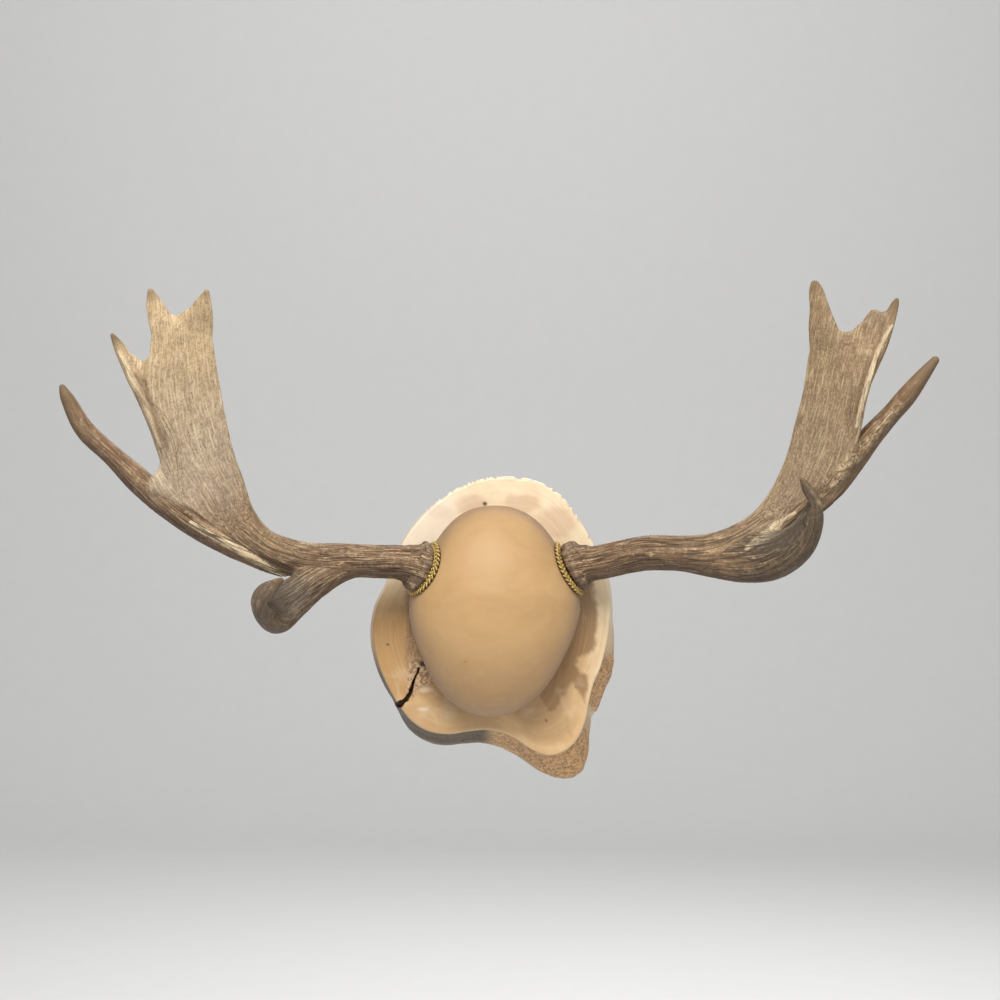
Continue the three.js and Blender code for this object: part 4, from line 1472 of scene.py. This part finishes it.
RIGHT = Antler(
    side="right",
    base=(81, -66, 66),
    fork=0.42,
    seed=23,
    trunk=Limb(Growth.TRUNK, (
        (61, -60, 58, 18, 18), (81, -66, 66, 19, 18), (94, -70, 70.5, 19, 18.5), (117, -79, 74, 19, 18.5),
        (144, -88, 80.5, 19, 18.5), (171, -97, 85, 19.5, 18.5), (203, -105, 84.5, 20, 18.5),
        (238, -112, 84, 23.5, 19), (270, -120, 94.5, 24, 17), (298, -130, 113, 24, 15),
        (323, -142, 142, 27.5, 12), (344, -158, 180, 32.5, 10), (355, -174, 218, 35, 8.5),
        (360.5, -189, 251, 34, 8), (365.5, -203, 285, 35.5, 7), (368, -209, 301, 35.5, 6.5),
    ), 22),
    brow=Limb(Growth.BROW, (
        (210, -105, 80, 16, 14), (241, -114, 77.5, 20.5, 16), (272, -129, 78, 25, 17),
        (299, -152, 83, 26, 16), (322, -178, 99, 23, 14), (333, -200, 122, 17, 11),
        (333, -214, 143, 10, 8), (325, -221, 158, 5, 5), (319, -225, 166, 2, 1.5),
    ), 24),
    outer=Limb(Growth.OUTER, (
        (269, -124, 86, 9, 9), (299, -133, 104, 12, 11), (328, -142, 128.5, 15.5, 12.5),
        (356.5, -152, 155.5, 18, 13), (381.5, -162, 185.5, 15.5, 13), (402, -170, 211.5, 12.5, 12),
        (422, -179, 235, 10.5, 11), (437.5, -186, 254, 10.5, 9.5), (451.5, -192, 273, 8, 7),
        (465.5, -198, 291.5, 4.5, 3.5),
    ), 14),
    points=(
        Limb(Growth.RIM, (
            (380, -168, 197, 6, 6), (384.5, -184, 230, 8, 8.5), (387.5, -194, 255, 7.5, 9.5),
            (394.5, -204, 280, 8, 9), (404, -213, 305, 8, 8), (411.5, -221, 329, 7, 6),
            (417, -226, 346, 4.5, 4), (419, -228, 352, 2.5, 2),
        ), 9),
        Limb(Growth.POINT, (
            (360, -199, 272, 18, 3), (351, -207, 299, 19.5, 6), (344, -216, 323, 15.5, 7),
            (339, -224, 344, 10.5, 6.5), (335, -229, 360, 8, 5), (333, -231, 369, 4.5, 3),
        ), 13),
        Limb(Growth.POINT, (
            (382, -200, 272, 12, 3), (388, -208, 300, 13, 6), (393, -216, 321, 12, 6),
            (398.5, -221, 337.5, 7.5, 4.5),
        ), 11),
        Limb(Growth.WEB, (
            (344, -219, 327, 10, 5), (353, -215, 315, 10.5, 5.5), (366, -212, 310, 11, 5.5),
            (379, -213, 313.5, 10.5, 5.5), (389, -218, 323, 10, 5),
        ), 8),
        Limb(Growth.WEB, (
            (392, -216, 322, 9, 5), (401, -218, 328, 10, 5), (411, -221, 333.5, 8.5, 5),
        ), 8),
    ),
    lit_rims=(
        ((271, 91, 2.2), (284, 101, 4), (301, 113, 5), (313, 122, 4.5), (323, 129, 2)),
        ((382, 222, 2.6), (386, 245, 2.8), (390.5, 264, 3), (396, 285, 3), (404, 306, 2.6), (414, 325, 1.8)),
    ),
    shaded_hollows=(
        ((377, 222, 1.5), (381, 241, 2), (384.4, 261, 2.4), (389.7, 282, 2), (398, 303, 1.3)),
    ),
    networks=(
        ((345, 142, 7), (364, 166, 9), (382, 188, 9), (398, 206, 8), (414, 225, 7), (428, 243, 5)),
    ),
)


# ---------------------------------------------------------------- the slice


@dataclass(frozen=True)
class WoodSlice:
    """A live-edge slice: its outline spreads from the sanded front to the wider, bark-covered back."""

    thickness: float = 35.0
    centre: tuple[float, float, float] = (0.0, 0.0, 8.0)
    rounding: float = 5.0
    outline: Rows = (
        (3, 170), (40, 167), (64, 157), (82, 141), (97, 119), (112, 94), (123, 69), (129, 44), (131, 18),
        (129, -6), (125, -27), (119, -48), (112, -64), (107, -83), (102, -108), (93, -128), (79, -141),
        (62, -146), (43, -140), (25, -128), (8, -120), (-11, -117), (-32, -119), (-52, -122), (-74, -119),
        (-92, -109), (-107, -92), (-121, -68), (-131, -45), (-137, -20), (-138, 2), (-134, 23), (-126, 40),
        (-117, 62), (-109, 86), (-99.5, 104), (-85, 122.5), (-66, 141), (-46, 155), (-22, 165),
    )
    flare: Rows = (
        (-180, 4), (-166, 5.5), (-148, 6), (-142, 5), (-136, 7), (-128, 12), (-115, 17), (-97, 18),
        (-86, 22), (-78, 26), (-71, 30), (-64, 35), (-60, 33), (-56, 25), (-51, 13), (-46, 9), (-40, 16),
        (-36, 17), (-26, 17), (-12, 10), (0, 4), (90, 2), (140, 2), (180, 4),
    )
    crack: Rows = (
        (-118, -95.5), (-106, -92), (-98.5, -84), (-93.5, -76), (-92, -66), (-88, -56), (-84.5, -46),
        (-86.5, -46), (-91, -57), (-95.5, -67), (-99.5, -78), (-118, -90),
    )
    saw_tears: float = 1.9  # depth of the nicks along the top edge
    right_heart: Rows = (  # the brown heartwood's border on the right, as x and z
        (60, 90), (100, 62), (112, 45), (116, 20), (114, -5), (111, -28), (104, -32), (94, -35), (91, -44),
        (97, -52), (106, -56), (107, -68), (101, -84), (96, -74), (88, -64), (83, -72), (76, -86),
        (60, -100), (40, -60),
    )
    # left brown patch: heartwood, and painted shadow of the form and the beam
    left_heart_and_shadow: Rows = ((-104, 42), (-100, 10), (-103, -20), (-100, -45), (-92, -60), (-70, -60), (-70, 60))
    blushes: Rows = (  # pinkish patches: x, z, half width, half height
        (-28, 137, 16, 11), (28, 139, 21, 10), (70, 117, 22, 16), (-62, 130, 14, 8),
    )
    inner_heart: Rows = ((79, -92), (88, -104), (86, -124), (76, -116))
    torn_wood: Rows = (
        (-101, -78), (-99, -60), (-98, -40), (-102, -8), (-92, -8), (-84, -34), (-76, -48), (-64, -62),
        (-74, -66), (-86, -68), (-92, -82),
    )
    knots_and_hole_shade: Rows = ((-11.3, 139, 2.2), (-121, -20, 1.8), (58, -106, 1.2), (-81.5, -42, 3.8))  # x, z and radius; the largest is a hole, painted dark as its shade
    glossy_highlights: Rows = (  # painted glossy highlights: x, z, stretch along x and along z, where each ends and is full
        (-78, -71, 2.2, 1.0, 5.0, 1.5), (-82, -93, 2.4, 0.9, 4.0, 1.0),
    )
    ring_turn: float = 90.0  # millimetres of figure in a radian round the middle
    ring_reach: float = 130.0  # millimetres of figure from the middle to the edge
    crack_floor: float = 7.0  # wood left behind the crack
    screw_heights: tuple[float, float] = (-28.0, 62.0)
    sides: int = 640

    def edge(self) -> tuple[Array, Array, Array]:
        """The front outline, the way out of it at each point, and that way's angle in degrees."""
        table = np.array([(x, 0.0, z) for x, z in self.outline], dtype=float)
        rim = curve(table, np.arange(self.sides) / self.sides, closed=True)
        out = unit(rim - np.array(self.centre))
        return rim, out, np.degrees(np.arctan2(out[:, 2], out[:, 0]))

    def shell(self, noise: Noise) -> Surface:
        """The slice before it cracked: rings from its front's middle round the edge to its back's middle.

        A front ring is the centre + s * (inset outline - centre). A ring of the edge is the outline pushed
        out by its share of the flare and by the bark's lumps.

        Args:
            noise: the noise that makes chips and bark.

        Returns:
            The surface.
        """
        rim, out, degrees = self.edge()
        flare = np.interp(degrees, *zip(*self.flare))
        barked = smooth(9.0, 15.0, flare) * smooth(-98, -82, degrees)
        chips = smooth(18, 35, degrees) * smooth(128, 104, degrees)
        nicks, gaps = smooth(0.0, 0.4, noise.at(rim / 2.8 + 31)), smooth(0.1, 0.5, noise.at(rim / 8 + 5))
        tears = self.saw_tears * (nicks + 0.9 * gaps)
        rings, middle = [], np.array(self.centre)
        for share in np.linspace(0.02, 1, 84) ** 0.8:
            inset = self.rounding * 0.55
            flat = middle + (rim - out * inset - middle) * share
            ripple = 0.25 * noise.at(flat / 22 + 3) * smooth(0.0, 0.2, np.array([share]))
            flat[:, 1] = -self.thickness + ripple
            rings.append(flat)
        for depth, inset, share in ((0.5, 0.32, 0), (1.4, 0.14, 0), (2.8, 0.04, 0), (4.5, 0.0, 0.02)):
            ring = rim - out * (self.rounding * inset + chips * tears)[:, None]
            ring[:, 1] = depth - self.thickness
            rings.append(ring)
        for depth in np.linspace(7, self.thickness, 15):
            share = np.interp(depth / self.thickness, (0.13, 0.45, 0.75, 1), (0.02, 0.4, 0.8, 1))
            spot = rim.copy()
            spot[:, 1] = depth
            lump = (noise.rough(spot / 13 + 50) * 2.4 + noise.at(spot / 3.5 + 70) * 0.9) * barked
            lump = lump + 0.5 * noise.at(spot / 9 + 90)
            fade = smooth(5, 14, np.array([depth])) * smooth(0, 6, np.array([self.thickness - depth + 2]))
            ring = rim + out * (flare * share * (1 - 0.8 * chips) + lump * fade - chips * tears)[:, None]
            ring[:, 1] = depth - self.thickness
            rings.append(ring)
        last = rings[-1]
        for share in (0.995, 0.9, 0.6, 0.3, 0.02):
            flat = middle + (last - middle) * share
            flat[:, 1] = 0.0
            rings.append(flat)
        points = np.concatenate(rings)
        faces = [grid_faces(len(rings), self.sides), np.arange(self.sides)[None, ::-1],
                 np.arange(self.sides)[None, :] + (len(rings) - 1) * self.sides]
        return Surface(points, faces).outward()

    def cutter(self, noise: Noise) -> Surface:
        """The crack as a ragged prism: its outline is drawn through the control points and torn by noise."""
        table = np.array([(x, 0.0, z) for x, z in self.crack], dtype=float)
        steps = 12  # points on each side of the outline
        count = len(table) * steps
        place = np.arange(count) / steps
        index = place.astype(int)
        share = (place - index)[:, None]
        line = table[index] * (1 - share) + table[(index + 1) % len(table)] * share
        rings = []
        for depth in np.linspace(-self.thickness - 4, -self.crack_floor, steps):
            ring = line.copy()
            ring[:, 1] = depth
            tear = np.column_stack([noise.at(ring / 5 + 11), np.zeros(count), noise.at(ring / 5 + 23)])
            rings.append(ring + 1.5 * tear * (np.abs(line[:, :1]) < 116))
        faces = [grid_faces(len(rings), count), np.arange(count)[None, ::-1],
                 np.arange(count)[None, :] + (len(rings) - 1) * count]
        return Surface(np.concatenate(rings), faces).outward()

    def screw_holes(self) -> list[Surface]:
        """Countersunk holes for the screws, each a radius over the depth turned round the viewing axis."""
        profile = np.array([(3.0, 5.6), (-0.6, 5.6), (-1.6, 5.3), (-5.2, 2.8), (-self.thickness - 5, 2.8)])
        count = len(profile)
        centres = np.column_stack([np.zeros(count), profile[:, 0], np.zeros(count)])
        wide, thin = np.tile([1.0, 0.0, 0.0], (count, 1)), np.tile([0.0, 0.0, 1.0], (count, 1))
        return [swept(centres + (0, 0, height), wide, thin, profile[:, 1], profile[:, 1], 48)
                for height in self.screw_heights]

    def build(self, wood: bpy.types.Material) -> None:
        """Makes the slice, opens the crack, and stores what the wood's finish reads.

        Args:
            wood: the slice's finish.
        """
        noise = Noise(41)
        whole = self.shell(noise).piece("whole_slice", wood)
        wedge = together([self.cutter(noise), *self.screw_holes()]).piece("wedge", wood)
        split = whole.modifiers.new("crack", "BOOLEAN")
        split.object, split.operation, split.solver = wedge, "DIFFERENCE", "EXACT"
        bpy.context.view_layer.update()
        mesh = bpy.data.meshes.new_from_object(whole.evaluated_get(bpy.context.evaluated_depsgraph_get()))
        removed(whole)
        removed(wedge)
        piece = bpy.data.objects.new("live_edge_slice", mesh)
        mesh.name = "live_edge_slice"
        bpy.context.scene.collection.objects.link(piece)
        mesh.shade_smooth()
        # The sawn back is one plane, so its faces stay flat up to the bark and the screw holes.
        mesh.polygons.foreach_set("use_smooth", [face.normal.y < 0.99 for face in mesh.polygons])
        points = np.empty(len(mesh.vertices) * 3)
        mesh.vertices.foreach_get("co", points)
        points = points.reshape(-1, 3) / MM
        self.paint(piece, points, noise)
        onto_slot(piece, Slot.WOOD, "wood_slice")

    def paint(self, piece: bpy.types.Object, points: Array, noise: Noise) -> None:
        """Stores the wood's figure: where its rings run, its sapwood, heart, knots, bark and crack, and where
        shadow, shade and glossy highlights are painted on it.

        Args:
            piece: the slice.
            points: its points in millimetres.
            noise: the noise that makes the borders irregular.
        """
        rim, _, degrees = self.edge()
        away = points - np.array(self.centre)
        angle = np.degrees(np.arctan2(away[:, 2], away[:, 0]))
        order = np.argsort(degrees)
        radius = np.linalg.norm(rim - np.array(self.centre), axis=1)[order]
        bound = np.interp(angle, degrees[order], radius, period=360)
        out = np.hypot(away[:, 0], away[:, 2])
        inward = bound - out
        x, z = points[:, 0], points[:, 2]
        front = smooth(-self.thickness + 3.5, -self.thickness + 1.0, points[:, 1])
        back = smooth(-0.6, -0.1, points[:, 1])
        wobble = 3.0 * noise.at(points / 22 + 5) + 1.6 * noise.at(points / 7 + 8)
        ragged = wobble + 0.9 * noise.at(points / 2.6 + 40)
        shifted = noise.at(points / 11 + 71) * 2.4 + 0.8 * noise.at(points / 3 + 90)
        heart = 0.85 * patch(x + ragged, z + 1.6 * shifted, self.right_heart, 3.5)
        # Left of the form: heartwood, made stronger as painted shadow of the form and the beam.
        left = 0.8 * patch(x + ragged, z + shifted, self.left_heart_and_shadow, 6.0)
        lobe = 0.4 * smooth(8, 22, inward + wobble) * smooth(-95, -115, z) * smooth(20, 40, x)
        tan = 0.34 * smooth(-78, -100, x) * smooth(78, 40, z) * smooth(-100, -75, z)
        low = 0.3 * smooth(20, -10, x) * smooth(-80, -92, z)
        inner = 0.4 * patch(x + shifted, z + ragged, self.inner_heart, 4.0)
        middle = 0.5 * smooth(16, 40, inward) * smooth(0, -60, z)
        heart = np.max([heart, left, lobe, tan, low, inner, middle], axis=0)
        gold = 0.08 + 0.7 * smooth(50, -20, z + wobble) * (1 - 0.55 * smooth(95, 112, x))
        # More gold on the left: partly the wood's tone, partly painted shadow of the form and the beam.
        gold = np.clip(gold + 0.45 * smooth(-40, -100, x) * smooth(60, 20, z) * smooth(-90, -60, z), 0, 1.2)
        blush = np.zeros(len(points))
        for bx, bz, wide, high in self.blushes:
            away_from = np.hypot((x - bx) / wide, (z - bz) / high) + 0.09 * ragged
            blush = np.maximum(blush, 0.5 * smooth(1.35, 0.65, away_from))
        # Dark spots; the largest is a hole, painted dark as its shade.
        knots_and_hole_shade = np.zeros(len(points))
        for kx, kz, size in self.knots_and_hole_shade:
            spread = np.hypot(x - kx, (z - kz) * 1.3) + 0.25 * wobble
            knots_and_hole_shade = np.maximum(knots_and_hole_shade, smooth(size * 1.5, size * 0.5, spread))
        table = np.array(self.crack, dtype=float)
        line = curve(table, np.linspace(0, 1, 200), closed=True)
        gap = np.min(np.hypot(x[:, None] - line[None, :, 0], z[:, None] - line[None, :, 1]), axis=1)
        crack = smooth(-self.thickness + 0.4, -self.thickness + 3, points[:, 1]) * smooth(3.5, 1.5, gap)
        crack = crack * (out < bound - 1)
        torn = patch(x + shifted, z + ragged, self.torn_wood, 2.0) * front
        torn = torn * (0.45 + 0.55 * smooth(-30, -45, z))
        # Painted glossy highlights on the front.
        glossy_highlight = np.max([
            smooth(far, near, np.hypot((x - gx) / long, (z - gz) / high) + 0.5 * shifted)
            for gx, gz, long, high, far, near in self.glossy_highlights
        ], axis=0) * front
        flare = np.interp(angle, *zip(*self.flare))
        side = (1 - front) * (1 - back)
        bark = side * smooth(9, 15, flare) * smooth(-97, -84, angle) * smooth(15, -5, angle)
        # The debarked side facing down and left: its dark colour is partly painted shade.
        bare = side * (1 - bark) * smooth(-175, -150, angle) * smooth(-40, -60, angle)
        chip = side * smooth(20, 45, angle) * smooth(105, 80, angle)
        attribute(piece, "figure", [
            np.radians(angle) * self.ring_turn * MM, out / bound * self.ring_reach * MM, points[:, 1] * MM])
        attribute(piece, "zones", [heart * np.maximum(front, back), bark, bare])
        attribute(piece, "marks", [knots_and_hole_shade * front, blush * front, crack])
        attribute(piece, "light", [gold, back, 0.75 * chip])
        chalky = 0.55 * smooth(-25, -60, x + wobble) * smooth(60, 95, z + wobble) * front
        attribute(piece, "touches", [0.405 * glossy_highlight, chalky, torn])


# ---------------------------------------------------------------- the studio


@dataclass(frozen=True)
class Studio:
    """The camera, the lights and the pale paper sweep behind and below the mount."""

    eye: tuple[float, float, float] = (0.00573, -2.5, 0.1432)
    lens: float = 78.545
    sensor: float = 36.0
    floor: float = -0.95
    lights: tuple[tuple[str, tuple[float, float, float], float, float], ...] = (
        ("key", (-0.3, -2.3, 2.3), 1.8, 125.0),
        ("fill", (1.9, -2.2, 0.4), 2.0, 14.0),
        ("back_fill", (0.6, 2.4, 1.8), 2.0, 45.0),
    )
    wash: tuple[tuple[float, float, float], float, float] = ((0.0, 2.2, 3.4), 3.0, 60.0)

    def camera(self) -> None:
        """Sets the camera level in front of the mount."""
        data = bpy.data.cameras.new("camera")
        data.lens, data.sensor_width = self.lens, self.sensor
        data.clip_start, data.clip_end = 0.05, 60.0
        camera = bpy.data.objects.new("camera", data)
        camera.location = self.eye
        camera.rotation_euler = (math.pi / 2, 0.0, 0.0)
        bpy.context.scene.collection.objects.link(camera)
        bpy.context.scene.camera = camera

    def light(self) -> None:
        """Hangs soft square lights that face the mount, and lights the air evenly."""
        mount, paper = (0.0, -0.1, 0.1), (0.0, 6.0, 0.6)
        for name, place, size, power, target in [(*light, mount) for light in self.lights] + [
                ("paper_wash", *self.wash, paper)]:
            data = bpy.data.lights.new(name, "AREA")
            data.size, data.energy = size, power
            lamp = bpy.data.objects.new(name, data)
            lamp.location, lamp.visible_camera = place, False
            heading = unit(np.array(target) - np.array(place))
            turn = math.atan2(heading[1], heading[0]) - math.pi / 2
            lamp.rotation_euler = (math.acos(-heading[2]), 0.0, turn)
            bpy.context.scene.collection.objects.link(lamp)
        world = bpy.data.worlds.new("studio air")
        world.use_nodes = True
        air = world.node_tree.nodes["Background"]
        air.inputs["Color"].default_value = linear("#e6e8ea")
        air.inputs["Strength"].default_value = 0.42
        bpy.context.scene.world = world
        bpy.context.scene.view_settings.view_transform = "Standard"

    def sweep(self, paper: bpy.types.Material) -> None:
        """Lays the paper: level under the mount, and carried up a quarter circle far behind it."""
        radius, back, front, high, half = 1.6, 4.4, -30.0, 8.0, 30.0
        turn = np.linspace(0, math.pi / 2, 24)
        y = np.concatenate([[front, 0.0], back + radius * np.sin(turn), [back + radius]])
        z = np.concatenate([[0.0, 0.0], radius * (1 - np.cos(turn)), [high]]) + self.floor
        rows = [np.column_stack([np.full(len(y), x), y, z]) for x in (-half, half)]
        count = len(y)
        quads = np.column_stack([np.arange(count - 1), np.arange(1, count), np.arange(1, count) + count,
                                 np.arange(count - 1) + count])[:, ::-1]
        sheet = Surface(np.vstack(rows) / MM, [quads]).piece("paper_sweep", paper)


def main() -> None:
    """Builds the mount piece by piece."""
    logging.basicConfig(level=logging.INFO, format="%(name)s: %(message)s")
    studio = Studio()
    studio.camera()
    form = SkullForm()
    form.build(SkullLeather().material())
    WoodSlice().build(SawnWood().material())
    gold, tape = GoldThread().material(), BlackTape().material()
    pale = WeatheredBone()
    # The browner bone's under colour is likewise partly its own darker tone and partly painted shade.
    browner = WeatheredBone("browner antler bone", palm="#927b61", palm_top="#937959", streak="#c6ad87",
                            brow="#4b3f31", under="#3a2a1c")
    for antler, bone in ((LEFT, pale.material()), (RIGHT, browner.material())):
        antler.build(bone)
        antler.braid(form, gold, tape)
    steel = ZincSteel().material()
    for name in ("lower_screw", "upper_screw"):
        screw = bpy.data.objects[name]
        for place in screw.material_slots:
            place.material = steel
        LOG.info("%s: dressed in %s", name, steel.name)
    studio.light()
    studio.sweep(StudioPaper().material())


if __name__ == "__main__":
    main()
